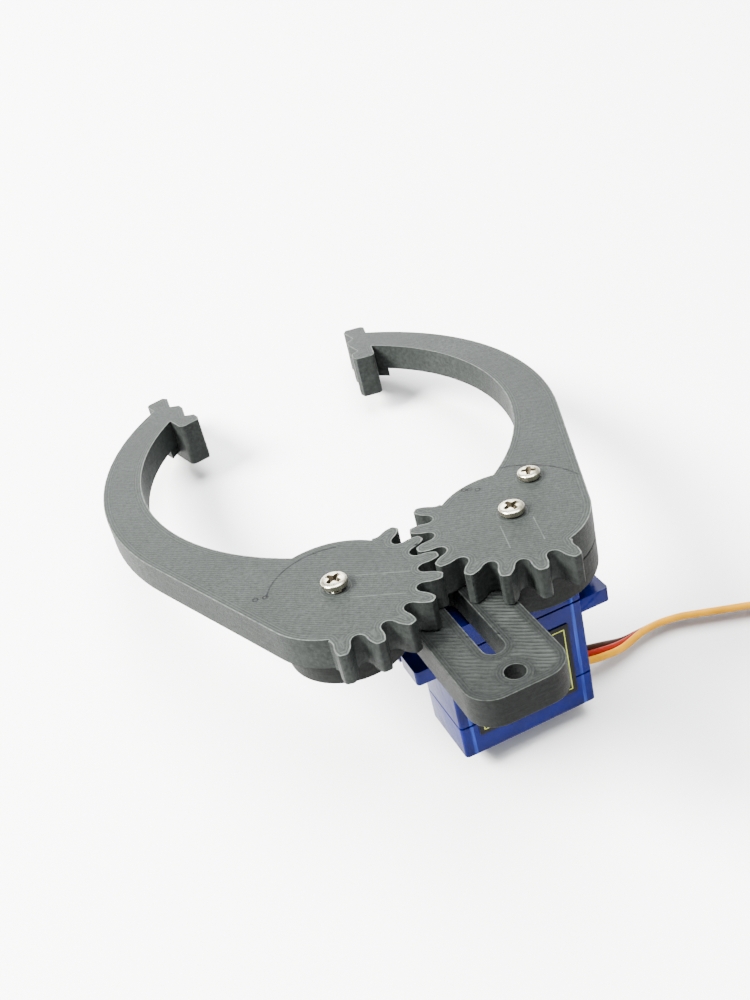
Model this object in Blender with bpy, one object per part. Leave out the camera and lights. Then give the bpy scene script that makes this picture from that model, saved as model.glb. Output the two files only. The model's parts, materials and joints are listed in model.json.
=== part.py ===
"""Geared two-jaw gripper driven by a micro servo, resting on the servo and both fingertips.

The mechanism is modelled in its own frame: the jaws' top face is z = 0, +X runs from the idler
jaw's pivot to the driven jaw's, +Y points along the fingers.  One empty then tips that frame
forward until the servo's rear lower edge and the fingertips stand on the ground, z = 0.
"""

import math

import bmesh
import bpy
from mathutils import Matrix, Vector

GAP = 0.0003

# Gear teeth cut into both jaws
TOOTH_MODULE = 0.00155
TOOTH_COUNT = 18
TEETH_CUT = 8
PRESSURE_ANGLE = math.radians(20.0)
TOOTH_BACKLASH = 0.0003
JAW_TOOTH = {"addendum": 0.71, "dedendum": 1.48, "root_round": 0.8, "tip_ease": 0.12, "flank_points": 5}
PITCH = 2.0 * math.pi / TOOTH_COUNT
AXLE_SPACING = TOOTH_MODULE * TOOTH_COUNT
HALF_SPACING = AXLE_SPACING / 2.0
HUB_END_SHARE = 0.42

# Jaws, drawn closed: x towards the other jaw, y along the finger, origin on the pivot
OPEN_ANGLE = math.radians(13.5)
JAW_THICKNESS = 0.0048
HUB_RADIUS = 0.0113
OUTER_ARC_CENTRE = (0.0302, 0.0338)
OUTER_ARC_RADIUS = 0.04585
INNER_ARC_CENTRE = (0.0303, 0.0353)
INNER_ARC_RADIUS = 0.0387
ARM_END_X = 0.0110
IDLER_FIRST_TOOTH = math.radians(18.7)
DRIVE_FIRST_TOOTH = IDLER_FIRST_TOOTH + PITCH / 2.0

# Fingertip block
TIP_FACE_X = HALF_SPACING - GAP / 2.0
TIP_BACK_X = 0.0096
TIP_NEAR_Y = 0.0637
TIP_FAR_Y = 0.0781
TIP_DEPTH = 0.0080
SAW_DEPTH = 0.0013
SAW_PITCH = 0.0060
SAW_STEP = 0.0011
SAW_CREST = 0.0015
TIP_ROUND = 0.0010
GUSSET_LENGTH = 0.0022
GUSSET_DEPTH = 0.0018

# Base plate
PLATE_THICKNESS = 0.0045
PLATE_TOP = -(JAW_THICKNESS + GAP)
PLATE_BOTTOM = PLATE_TOP - PLATE_THICKNESS
IDLER_DISC_RADIUS = 0.0090
DRIVE_DISC_RADIUS = 0.0113
TONGUE_HALF_WIDTH = 0.0073
TONGUE_REACH = 0.0282
TONGUE_CORNER = 0.0042
SLOT_WIDTH = 0.0031
SLOT_NEAR_Y = -0.0202
SLOT_FAR_Y = -0.0030
TONGUE_HOLE_RADIUS = 0.0014
TONGUE_HOLE_Y = -0.0247
PILOT_FLOOR = 0.0008

# Servo case, its outlines centred on the output shaft
CASE_SHAFT_END = 0.0059
CASE_MOTOR_END = 0.0168
CASE_HALF_WIDTH = 0.0060
CASE_WALL = 0.0009
CASE_CORNER = 0.0006
CASE_TOP = -0.0106
EAR_TOP = CASE_TOP - 0.0045
EAR_THICKNESS = 0.0024
EAR_BOTTOM = EAR_TOP - EAR_THICKNESS
EAR_LENGTH = 0.0047
EAR_HOLE_RADIUS = 0.0011
EAR_SLOT_WIDTH = 0.0012
EAR_INSET = 0.0001
CASE_BOTTOM = CASE_TOP - 0.0239
CASE_SEAM = CASE_BOTTOM + 0.0057
DECK_TOP = EAR_BOTTOM - 0.0002
DECK_THICKNESS = 0.0010
BOSS_RADIUS = 0.0059
BOSS_HEIGHT = 0.0043
BOSS_TOP = CASE_TOP + BOSS_HEIGHT
SIDE_BOSS_RADIUS = 0.0028
SIDE_BOSS_X = -0.0060
POST_INSET = 0.00145
POST_RADIUS = 0.0015
CASE_SCREW_RADIUS = 0.0007
CASE_SCREW_HEAD_RADIUS = 0.0011
CASE_SCREW_HEAD_HEIGHT = 0.0007
CASE_SCREW_COVER = 0.0012
CASE_SCREW_POINT = 0.0005

# Gear train inside the servo: two stacks of gears, one on the idler pin, one on the shaft
TRAIN_MODULE = 0.00024
PINION_TEETH = 8
LARGE_A_TEETH = 34
LARGE_TEETH = 36
SMALL_TEETH = 10
TRAIN_BACKLASH = 0.00009
TRAIN_TOOTH = {"addendum": 1.0, "dedendum": 1.25, "root_round": 0.0, "tip_ease": 0.18, "flank_points": 2}
LAYER_THICKNESS = 0.0011
LAYER_PITCH = LAYER_THICKNESS + GAP
LAYER_BASE = DECK_TOP + GAP
IDLER_PIN_X = -TRAIN_MODULE * (LARGE_TEETH + SMALL_TEETH) / 2.0
MOTOR_X = IDLER_PIN_X - TRAIN_MODULE * (LARGE_A_TEETH + PINION_TEETH) / 2.0
IDLER_PIN_RADIUS = 0.0005
OUTPUT_SHAFT_RADIUS = 0.0009
SHAFT_NECK_RADIUS = 0.0025
SPLINE_TEETH = 21
SPLINE_RADIUS = 0.0024
SPLINE_BACKLASH = 0.00005
SPLINE_TOP = BOSS_TOP + 0.0032
SHAFT_BORE_RADIUS = 0.0013
SHAFT_BORE_DEPTH = 0.0055
MOTOR_RADIUS = 0.0048
MOTOR_FLAT = 0.0044
MOTOR_LENGTH = 0.0120
MOTOR_SHAFT_RADIUS = 0.0004
MOTOR_SHAFT_SOCKET = 0.0010
POT_RADIUS = 0.0040
POT_HEIGHT = 0.0045
POT_SOCKET_DEPTH = 0.0016
POT_STUB_DEPTH = 0.0012
BOARD_THICKNESS = 0.0008

# Servo horn and the screws on the jaws
HORN_HUB_RADIUS = 0.0036
HORN_HUB_TOP = -0.0021
HORN_ARM_THICKNESS = 0.0015
HORN_ARM_TOP = -0.0030
HORN_ARM_REACH = 0.0130
HORN_ARM_ROOT = 0.0027
HORN_ARM_TIP = 0.0020
HORN_ANGLE = math.radians(45.0)
HORN_SCREW_RADIUS = 0.0092
IDLER_POCKET_ANGLE = math.radians(-31.5)
IDLER_POCKET_REACH = 0.0075
SCREW_HEAD_RADIUS = 0.0019
SCREW_HEAD_HEIGHT = 0.0011
SCREW_CROWN = ((0.60, 0.00006), (0.90, 0.00024), (1.0, 0.00050))
SCREW_SHANK_RADIUS = 0.0010
SCREW_CROSS_WIDTH = 0.0005
SCREW_CROSS_LENGTH = 0.0021
SCREW_CROSS_DEPTH = 0.0006
CENTRE_SCREW_LENGTH = 0.0075
CENTRE_SCREW_TURN = math.radians(15.0)
ARM_HEAD_RADIUS = 0.0017
ARM_SHANK_RADIUS = 0.0008
ARM_SCREW_LENGTH = 0.0044
ARM_SCREW_TURN = math.radians(62.0)
IDLER_SCREW_LENGTH = 0.0087
IDLER_SCREW_TURN = math.radians(35.0)
IDLER_HEAD_LIFT = 0.0006

# Label on the servo's wide face
LABEL_LEFT = -0.0139
LABEL_RIGHT = 0.0030
LABEL_TOP = -0.0180
LABEL_BOTTOM = -0.0312
LABEL_THICKNESS = 0.00015
LABEL_CORNER = 0.0003
LABEL_GAP = 0.00005

# Servo lead, a flat three-wire ribbon
LEAD_WIDTH = 0.0036
LEAD_RADIUS = LEAD_WIDTH / 2.0
LEAD_EXIT_Z = CASE_SEAM - 0.0021
GROMMET_WIDTH = 0.0044
GROMMET_HEIGHT = 0.0018
GROMMET_LENGTH = 0.0016
GROMMET_CORNER = 0.0004
COIL_CENTRE = Vector((0.0720, -0.0685, 0.0))
COIL_ENTRY_ANGLE = math.radians(67.0)
COIL_RADIUS = 0.0186
COIL_REACH = COIL_RADIUS + LEAD_WIDTH + LEAD_RADIUS + GAP
GROUND_CLEARANCE = 0.00005
LEAD_REST = LEAD_RADIUS + GROUND_CLEARANCE
PLUG_LENGTH = 0.0140
PLUG_WIDTH = 0.0076
PLUG_THICKNESS = 0.0025
PLUG_CORNER = 0.0003
PLUG_CELLS = 3
PLUG_CELL_PITCH = 0.00254
PLUG_CELL_SIZE = 0.0011
PLUG_CELL_DEPTH = 0.0060

ARC_STEP = math.radians(5.0)
CORNER_STEP = math.radians(22.5)
ROUTE_STEPS = 24


# ---------------------------------------------------------------- materials

def make_material(name, colour, roughness, metallic=0.0, alpha=1.0):
    material = bpy.data.materials.new(name)
    material.use_nodes = True
    shader = material.node_tree.nodes["Principled BSDF"]
    shader.inputs["Base Color"].default_value = (*colour, 1.0)
    shader.inputs["Roughness"].default_value = roughness
    shader.inputs["Metallic"].default_value = metallic
    shader.inputs["Alpha"].default_value = alpha
    return material


def make_materials():
    return {
        "printed_grey": make_material("printed_grey", (0.17, 0.18, 0.175), 0.55),
        "servo_blue": make_material("servo_blue", (0.02, 0.05, 0.42), 0.2, alpha=0.75),
        "screw_steel": make_material("screw_steel", (0.62, 0.60, 0.52), 0.3, 1.0),
        "nylon_white": make_material("nylon_white", (0.80, 0.80, 0.76), 0.4),
        "motor_steel": make_material("motor_steel", (0.55, 0.55, 0.56), 0.35, 1.0),
        "brass": make_material("brass", (0.70, 0.52, 0.22), 0.35, 1.0),
        "board_green": make_material("board_green", (0.02, 0.12, 0.05), 0.5),
        "black_plastic": make_material("black_plastic", (0.02, 0.02, 0.02), 0.5),
        "label_black": make_material("label_black", (0.015, 0.015, 0.017), 0.35),
        "lead_orange": make_material("lead_orange", (0.80, 0.36, 0.02), 0.5),
    }


# ---------------------------------------------------------------- outlines

def arc(centre, radius, start, end, step=ARC_STEP):
    """Points along an arc, both ends included."""
    count = max(2, math.ceil(abs(end - start) / step))
    angles = [start + (end - start) * i / count for i in range(count + 1)]
    return [(centre[0] + radius * math.cos(a), centre[1] + radius * math.sin(a)) for a in angles]


def circle(radius, centre=(0.0, 0.0), sides=24):
    return arc(centre, radius, 0.0, 2.0 * math.pi, 2.0 * math.pi / sides)[:-1]


def rounded_rectangle(x_low, x_high, y_low, y_high, radius, step=CORNER_STEP):
    outline = []
    corners = ((x_high, y_low), (x_high, y_high), (x_low, y_high), (x_low, y_low))
    for turn, (x, y) in enumerate(corners):
        centre_x = x - radius if x == x_high else x + radius
        centre_y = y - radius if y == y_high else y + radius
        start = -math.pi / 2.0 + turn * math.pi / 2.0
        outline += arc((centre_x, centre_y), radius, start, start + math.pi / 2.0, step)
    return outline


def capsule(start, end, start_radius, end_radius):
    """Outline of two discs and the straight sides that join them."""
    run = Vector(end) - Vector(start)
    heading = math.atan2(run.y, run.x)
    spread = math.acos((start_radius - end_radius) / run.length)
    far = arc(end, end_radius, heading - spread, heading + spread)
    near = arc(start, start_radius, heading + spread, heading - spread + 2.0 * math.pi)
    return far + near


def involute(radius, base_radius):
    ratio = max(1.0, radius / base_radius)
    return math.sqrt(ratio * ratio - 1.0) - math.acos(1.0 / ratio)


def tooth(module, teeth, centre_angle, backlash, addendum, dedendum, root_round, tip_ease, flank_points):
    """One gear tooth from its leading root to its trailing root, clockwise; heights in modules."""
    pitch_radius = module * teeth / 2.0
    base_radius = pitch_radius * math.cos(PRESSURE_ANGLE)
    tip_radius = pitch_radius + addendum * module
    root_radius = pitch_radius - dedendum * module
    half_pitch_tooth = (math.pi * module / 2.0 - backlash) / (2.0 * pitch_radius)
    tooth_root = half_pitch_tooth + involute(pitch_radius, base_radius)
    half_gap = math.pi / teeth - tooth_root
    flank_low = root_radius + max(root_round, 0.25) * module
    flank_high = tip_radius - tip_ease * module
    side = [(root_radius, tooth_root + 0.14 * module / root_radius)]
    if root_round > 0.0:
        angles = [math.radians(degrees) for degrees in (15.0, 40.0, 65.0)]
        side = [(flank_low - root_round * module * math.cos(a), tooth_root + half_gap * (1.0 - math.sin(a)))
                for a in angles]
    for i in range(flank_points):
        radius = flank_low + (flank_high - flank_low) * i / (flank_points - 1)
        side.append((radius, tooth_root - involute(radius, base_radius)))
    tip_share = 1.0 - 2.5 * tip_ease
    side.append((tip_radius, tip_share * (tooth_root - involute(tip_radius, base_radius))))
    leading = [(r, centre_angle + half) for r, half in side]
    trailing = [(r, centre_angle - half) for r, half in reversed(side)]
    return [(r * math.cos(a), r * math.sin(a)) for r, a in leading + trailing]


def gear_outline(module, teeth, backlash, first_angle=0.0):
    outline = []
    for i in range(teeth):
        angle = first_angle - 2.0 * math.pi * i / teeth
        outline += tooth(module, teeth, angle, backlash, **TRAIN_TOOTH)
    return outline


def meeting_point(centre_a, radius_a, centre_b, radius_b):
    """The meeting point of two circles that lies left of the way from a to b."""
    between = Vector(centre_b) - Vector(centre_a)
    along = (radius_a ** 2 - radius_b ** 2 + between.length_squared) / (2.0 * between.length)
    across = math.sqrt(radius_a ** 2 - along ** 2)
    unit = between.normalized()
    point = Vector(centre_a) + unit * along + Vector((-unit.y, unit.x)) * across
    return point.x, point.y


def angle_about(centre, point):
    return math.atan2(point[1] - centre[1], point[0] - centre[0]) % (2.0 * math.pi)


def jaw_outline(first_tooth):
    """Gear sector, hub and curved arm of a closed jaw, clockwise from the inner hub corner."""
    inner_corner = meeting_point((0.0, 0.0), HUB_RADIUS, INNER_ARC_CENTRE, INNER_ARC_RADIUS)
    inner_hub_angle = angle_about((0.0, 0.0), inner_corner)
    half_tooth = PITCH * HUB_END_SHARE
    hub_to_teeth = arc((0.0, 0.0), HUB_RADIUS, inner_hub_angle, first_tooth + half_tooth)
    teeth = []
    for i in range(TEETH_CUT):
        angle = first_tooth - i * PITCH
        teeth += tooth(TOOTH_MODULE, TOOTH_COUNT, angle, TOOTH_BACKLASH, **JAW_TOOTH)
    last_tooth = first_tooth - (TEETH_CUT - 1) * PITCH
    centre_run = Vector(OUTER_ARC_CENTRE)
    radius_change = (HUB_RADIUS - OUTER_ARC_RADIUS) / centre_run.length
    tangent = math.atan2(centre_run.y, centre_run.x) + math.acos(radius_change)
    hub_to_arm = arc((0.0, 0.0), HUB_RADIUS, last_tooth - half_tooth, tangent - 2.0 * math.pi)
    outer_rise = math.sqrt(OUTER_ARC_RADIUS ** 2 - (ARM_END_X - OUTER_ARC_CENTRE[0]) ** 2)
    outer_end = angle_about(OUTER_ARC_CENTRE, (ARM_END_X, OUTER_ARC_CENTRE[1] + outer_rise))
    outer_edge = arc(OUTER_ARC_CENTRE, OUTER_ARC_RADIUS, tangent, outer_end, math.radians(3.0))
    inner_rise = math.sqrt(INNER_ARC_RADIUS ** 2 - (ARM_END_X - INNER_ARC_CENTRE[0]) ** 2)
    inner_start = angle_about(INNER_ARC_CENTRE, (ARM_END_X, INNER_ARC_CENTRE[1] + inner_rise))
    inner_end = angle_about(INNER_ARC_CENTRE, inner_corner)
    inner_edge = arc(INNER_ARC_CENTRE, INNER_ARC_RADIUS, inner_start, inner_end, math.radians(3.0))
    return hub_to_teeth + teeth + hub_to_arm + outer_edge + inner_edge[:-1]


def fingertip_outline():
    """Block across the arm's end, with a saw-toothed gripping face on its +X side."""
    near_back = arc((TIP_BACK_X + TIP_ROUND, TIP_NEAR_Y + TIP_ROUND), TIP_ROUND, -math.pi, -math.pi / 2)
    face = [(TIP_FACE_X - SAW_STEP / 2.0, TIP_NEAR_Y)]
    crest = TIP_NEAR_Y + SAW_STEP
    while crest + SAW_CREST + SAW_STEP < TIP_FAR_Y - SAW_CREST:
        valley = crest + SAW_CREST + SAW_STEP
        face += [(TIP_FACE_X, crest), (TIP_FACE_X, crest + SAW_CREST)]
        face.append((TIP_FACE_X - SAW_DEPTH, valley))
        crest = valley + SAW_PITCH - SAW_CREST - SAW_STEP
    face += [(TIP_FACE_X, TIP_FAR_Y - SAW_STEP), (TIP_FACE_X - SAW_STEP / 2.0, TIP_FAR_Y)]
    far_back = arc((TIP_BACK_X + TIP_ROUND, TIP_FAR_Y - TIP_ROUND), TIP_ROUND, math.pi / 2, math.pi)
    return near_back + face + far_back


def gusset_outline():
    """Plan of the rib that stiffens the arm behind the fingertip block, kept inside the arm."""
    points = []
    for x in (TIP_BACK_X - GUSSET_LENGTH, TIP_BACK_X + TIP_ROUND):
        rise = math.sqrt(INNER_ARC_RADIUS ** 2 - (x - INNER_ARC_CENTRE[0]) ** 2)
        points.append((x, INNER_ARC_CENTRE[1] + rise + GAP))
    for x in (TIP_BACK_X + TIP_ROUND, TIP_BACK_X - GUSSET_LENGTH):
        rise = math.sqrt(OUTER_ARC_RADIUS ** 2 - (x - OUTER_ARC_CENTRE[0]) ** 2)
        points.append((x, OUTER_ARC_CENTRE[1] + rise - GAP))
    return points


def plate_outline():
    """Two discs joined by a bar, and the tongue that reaches back between them."""
    left_offset = HALF_SPACING - TONGUE_HALF_WIDTH
    left_start = math.acos(left_offset / IDLER_DISC_RADIUS)
    right_start = math.pi + math.acos(left_offset / DRIVE_DISC_RADIUS)
    tangent = math.acos((DRIVE_DISC_RADIUS - IDLER_DISC_RADIUS) / AXLE_SPACING)
    tongue = rounded_rectangle(
        -TONGUE_HALF_WIDTH, TONGUE_HALF_WIDTH, -TONGUE_REACH, 0.0, TONGUE_CORNER, ARC_STEP)
    tongue_end = [point for point in tongue if point[1] < -TONGUE_REACH / 2.0]
    tongue_right = [point for point in tongue_end if point[0] > 0.0]
    tongue_left = [point for point in tongue_end if point[0] < 0.0]
    right = arc((HALF_SPACING, 0.0), DRIVE_DISC_RADIUS, right_start - 2.0 * math.pi, tangent)
    left = arc((-HALF_SPACING, 0.0), IDLER_DISC_RADIUS, tangent, 2.0 * math.pi - left_start)
    return tongue_right + right + left + tongue_left


def case_cavity_outline():
    """Inside of the servo's case, with a screw post bulging into each corner."""
    x_low = -CASE_MOTOR_END + CASE_WALL
    x_high = CASE_SHAFT_END - CASE_WALL
    half = CASE_HALF_WIDTH - CASE_WALL
    outline = []
    for turn, (post_x, post_y) in enumerate(case_screw_places()):
        wall_y = math.copysign(half, post_y)
        wall_x = x_high if post_x > 0.0 else x_low
        reach = math.sqrt(POST_RADIUS ** 2 - (wall_y - post_y) ** 2)
        reach_x = post_x - math.copysign(reach, post_x if post_x > 0.0 else x_low)
        reach_y = post_y - math.copysign(math.sqrt(POST_RADIUS ** 2 - (wall_x - post_x) ** 2), post_y)
        on_long_wall = math.atan2(wall_y - post_y, reach_x - post_x)
        on_short_wall = math.atan2(reach_y - post_y, wall_x - post_x)
        start, end = (on_long_wall, on_short_wall) if turn % 2 == 0 else (on_short_wall, on_long_wall)
        if end > start:
            end -= 2.0 * math.pi
        outline += arc((post_x, post_y), POST_RADIUS, start, end, math.radians(30.0))
    return outline


def case_screw_places():
    """Corner screws about the shaft axis, counter-clockwise from the shaft end's -Y corner."""
    x_high = CASE_SHAFT_END - POST_INSET
    x_low = -CASE_MOTOR_END + POST_INSET
    y = CASE_HALF_WIDTH - POST_INSET
    return [(x_high, -y), (x_high, y), (x_low, y), (x_low, -y)]


# ---------------------------------------------------------------- mesh helpers

def signed_area(outline):
    total = 0.0
    for (x_a, y_a), (x_b, y_b) in zip(outline, outline[1:] + outline[:1]):
        total += x_a * y_b - x_b * y_a
    return total / 2.0


def prism(outline, z_low, z_high):
    """Closed bmesh of an outline extruded from z_low to z_high."""
    if signed_area(outline) < 0.0:
        outline = outline[::-1]
    bm = bmesh.new()
    low = [bm.verts.new((x, y, z_low)) for x, y in outline]
    high = [bm.verts.new((x, y, z_high)) for x, y in outline]
    bm.faces.new(low[::-1])
    bm.faces.new(high)
    for i, vert in enumerate(low):
        after = (i + 1) % len(low)
        bm.faces.new((vert, low[after], high[after], high[i]))
    return bm


def turned(profile, sides=24):
    """Closed bmesh of (radius, z) points, listed top to bottom, turned about Z."""
    bm = bmesh.new()
    rings = []
    for radius, z in profile:
        if radius == 0.0:
            rings.append([bm.verts.new((0.0, 0.0, z))])
        else:
            rings.append([bm.verts.new((x, y, z)) for x, y in circle(radius, sides=sides)])
    for upper, lower in zip(rings, rings[1:]):
        for i in range(sides):
            after = (i + 1) % sides
            corners = [upper[i % len(upper)], lower[i % len(lower)]]
            corners += [lower[after % len(lower)], upper[after % len(upper)]]
            unique = list(dict.fromkeys(corners))
            if len(unique) > 2:
                bm.faces.new(unique)
    if len(rings[0]) > 1:
        bm.faces.new(rings[0])
    if len(rings[-1]) > 1:
        bm.faces.new(rings[-1][::-1])
    return bm


def ring(profile, sides=48):
    """Closed bmesh of a closed (radius, z) loop, counter-clockwise, turned about Z."""
    bm = bmesh.new()
    loops = [[bm.verts.new((x, y, z)) for x, y in circle(r, sides=sides)] for r, z in profile]
    for i, loop in enumerate(loops):
        beyond = loops[(i + 1) % len(loops)]
        for j in range(sides):
            after = (j + 1) % sides
            bm.faces.new((loop[j], loop[after], beyond[after], beyond[j]))
    return bm


def add_object(name, bm, material=None, parent=None, place=(0.0, 0.0, 0.0), turn=0.0, smooth=False):
    mesh = bpy.data.meshes.new(name)
    bmesh.ops.recalc_face_normals(bm, faces=bm.faces)
    bm.to_mesh(mesh)
    bm.free()
    if smooth:
        mesh.shade_smooth()
        mesh.set_sharp_from_angle(angle=math.radians(35.0))
    if material is not None:
        mesh.materials.append(material)
    obj = bpy.data.objects.new(name, mesh)
    obj.parent = parent
    obj.location = place
    obj.rotation_euler = (0.0, 0.0, turn)
    bpy.context.scene.collection.objects.link(obj)
    return obj


def add_empty(name, parent=None, place=(0.0, 0.0, 0.0)):
    empty = bpy.data.objects.new(name, None)
    empty.empty_display_size = 0.01
    empty.parent = parent
    empty.location = place
    bpy.context.scene.collection.objects.link(empty)
    return empty


def combine(target, bm, operation):
    """Cut a closed shape out of an object, or join it on; the shape shares the object's place."""
    name = f"{target.name}_{operation.lower()}_{len(target.modifiers)}"
    tool = add_object(name, bm, parent=target.parent, place=target.location)
    tool.rotation_euler = target.rotation_euler
    tool.hide_render = True
    tool.display_type = "WIRE"
    modifier = target.modifiers.new(name, "BOOLEAN")
    modifier.operation = operation
    modifier.object = tool
    modifier.solver = "EXACT"


def cut(target, bm):
    combine(target, bm, "DIFFERENCE")


def join(target, bm):
    combine(target, bm, "UNION")


# ---------------------------------------------------------------- placing the assembly

def resting_pose():
    """Tilt and place that stand the gripper on the servo's rear edge and both fingertips."""
    tip_y = (TIP_FACE_X - SAW_STEP / 2.0) * math.sin(OPEN_ANGLE) + TIP_FAR_Y * math.cos(OPEN_ANGLE)
    tilt = math.atan2(-TIP_DEPTH - CASE_BOTTOM, tip_y - CASE_HALF_WIDTH)
    rear_y = -TONGUE_REACH * math.cos(tilt) + PLATE_BOTTOM * math.sin(tilt)
    front_y = tip_y * math.cos(tilt)
    height = tip_y * math.sin(tilt) + TIP_DEPTH * math.cos(tilt)
    return tilt, Vector((0.0, -(rear_y + front_y) / 2.0, height))


def add_assembly():
    tilt, place = resting_pose()
    assembly = add_empty("assembly", place=place)
    assembly.rotation_euler = (-tilt, 0.0, 0.0)
    idler_axis = add_empty("idler_axis", assembly, (-HALF_SPACING, 0.0, 0.0))
    drive_axis = add_empty("drive_axis", assembly, (HALF_SPACING, 0.0, 0.0))
    return assembly, idler_axis, drive_axis


def world_point(x, y, z):
    """A point of the mechanism's frame, given in the world's."""
    tilt, place = resting_pose()
    return Matrix.Rotation(-tilt, 3, "X") @ Vector((x, y, z)) + place


# ---------------------------------------------------------------- jaws and plate

def horn_pocket(reach, root, tip):
    """Hub and arm recess on a jaw's underside, opening downwards."""
    below = -JAW_THICKNESS - GAP
    arm = prism(capsule((0.0, 0.0), (reach, 0.0), root, tip), below, HORN_ARM_TOP + GAP)
    hub = prism(circle(HORN_HUB_RADIUS + GAP), below, HORN_HUB_TOP + GAP)
    return arm, hub


def add_jaw(name, first_tooth, mirror, axis, pocket_angle, pocket_reach, materials):
    """One printed jaw; mirror is -1 for the driven jaw, whose finger curves the other way."""
    turn = mirror * OPEN_ANGLE
    plan = [(mirror * x, y) for x, y in jaw_outline(first_tooth)]
    tip_plan = [(mirror * x, y) for x, y in fingertip_outline()]
    rib_plan = [(mirror * x, y) for x, y in gusset_outline()]
    blank = prism(plan, -JAW_THICKNESS, 0.0)
    jaw = add_object(name, blank, materials["printed_grey"], axis, turn=turn, smooth=True)
    join(jaw, prism(rib_plan, -JAW_THICKNESS - GUSSET_DEPTH, -JAW_THICKNESS / 2.0))
    join(jaw, prism(tip_plan, -TIP_DEPTH, 0.0))
    arm, hub = horn_pocket(pocket_reach, HORN_ARM_ROOT + GAP, HORN_ARM_TIP + GAP)
    for bm in (arm, hub):
        bmesh.ops.rotate(bm, verts=bm.verts, matrix=Matrix.Rotation(pocket_angle - turn, 3, "Z"))
        cut(jaw, bm)
    cut(jaw, prism(circle(SCREW_SHANK_RADIUS + GAP), -JAW_THICKNESS - GAP, GAP))
    return jaw


def add_base_plate(assembly, materials):
    blank = prism(plate_outline(), PLATE_BOTTOM, PLATE_TOP)
    plate = add_object("base_plate", blank, materials["printed_grey"], assembly, smooth=True)
    below = PLATE_BOTTOM - GAP
    above = PLATE_TOP + GAP
    slot = capsule((0.0, SLOT_NEAR_Y + SLOT_WIDTH / 2.0), (0.0, SLOT_FAR_Y),
                   SLOT_WIDTH / 2.0, SLOT_WIDTH / 2.0)
    side_hole = circle(SIDE_BOSS_RADIUS + GAP, (HALF_SPACING + SIDE_BOSS_X, 0.0))
    cut(plate, prism(slot, below, above))
    cut(plate, prism(circle(TONGUE_HOLE_RADIUS, (0.0, TONGUE_HOLE_Y)), below, above))
    cut(plate, prism(circle(BOSS_RADIUS + GAP, (HALF_SPACING, 0.0), 40), below, above))
    cut(plate, prism(side_hole, below, above))
    pilot = circle(SCREW_SHANK_RADIUS + GAP, (-HALF_SPACING, 0.0))
    cut(plate, prism(pilot, PLATE_BOTTOM + PILOT_FLOOR, above))
    return plate


def add_pan_screw(name, lift, length, head_radius, shank_radius, place, turn, parent, materials):
    """Pan-head screw with a cross recess; its head stands lift above the jaw."""
    top = lift + SCREW_HEAD_HEIGHT
    crown = [(share * head_radius, top - drop) for share, drop in SCREW_CROWN]
    profile = [(0.0, top)] + crown + [(head_radius, lift), (shank_radius, lift),
                                      (shank_radius, lift - length),
                                      (shank_radius / 2.0, lift - length - shank_radius / 2.0)]
    screw = add_object(name, turned(profile), materials["screw_steel"], parent, place, turn, True)
    half_width = SCREW_CROSS_WIDTH / 2.0
    half_length = SCREW_CROSS_LENGTH / 2.0 * head_radius / SCREW_HEAD_RADIUS
    for half_x, half_y in ((half_length, half_width), (half_width, half_length)):
        bar = [(-half_x, -half_y), (half_x, -half_y), (half_x, half_y), (-half_x, half_y)]
        cut(screw, prism(bar, top - SCREW_CROSS_DEPTH, top + GAP))
    return screw


def add_horn(drive_axis, materials):
    """Single-arm servo horn; its hub sits on the output spline, its arm in the jaw's pocket."""
    hub_bottom = BOSS_TOP + GAP
    bore_top = SPLINE_TOP + GAP
    profile = [(SCREW_SHANK_RADIUS + GAP, HORN_HUB_TOP), (HORN_HUB_RADIUS, HORN_HUB_TOP),
               (HORN_HUB_RADIUS, hub_bottom), (SPLINE_RADIUS + GAP, hub_bottom),
               (SPLINE_RADIUS + GAP, bore_top), (SCREW_SHANK_RADIUS + GAP, bore_top)]
    arm_plan = capsule((0.0, 0.0), (HORN_ARM_REACH, 0.0), HORN_ARM_ROOT, HORN_ARM_TIP)
    arm_low = HORN_ARM_TOP - HORN_ARM_THICKNESS
    horn = add_object("servo_horn", prism(arm_plan, arm_low, HORN_ARM_TOP),
                      materials["nylon_white"], drive_axis, turn=HORN_ANGLE, smooth=True)
    cut(horn, prism(circle((HORN_HUB_RADIUS + SPLINE_RADIUS) / 2.0 + GAP), arm_low - GAP,
                    HORN_ARM_TOP + GAP))
    join(horn, ring(profile[::-1], sides=24))
    cut(horn, prism(circle(ARM_SHANK_RADIUS + GAP, (HORN_SCREW_RADIUS, 0.0), 16),
                    arm_low - GAP, HORN_ARM_TOP + GAP))
    return horn


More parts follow.
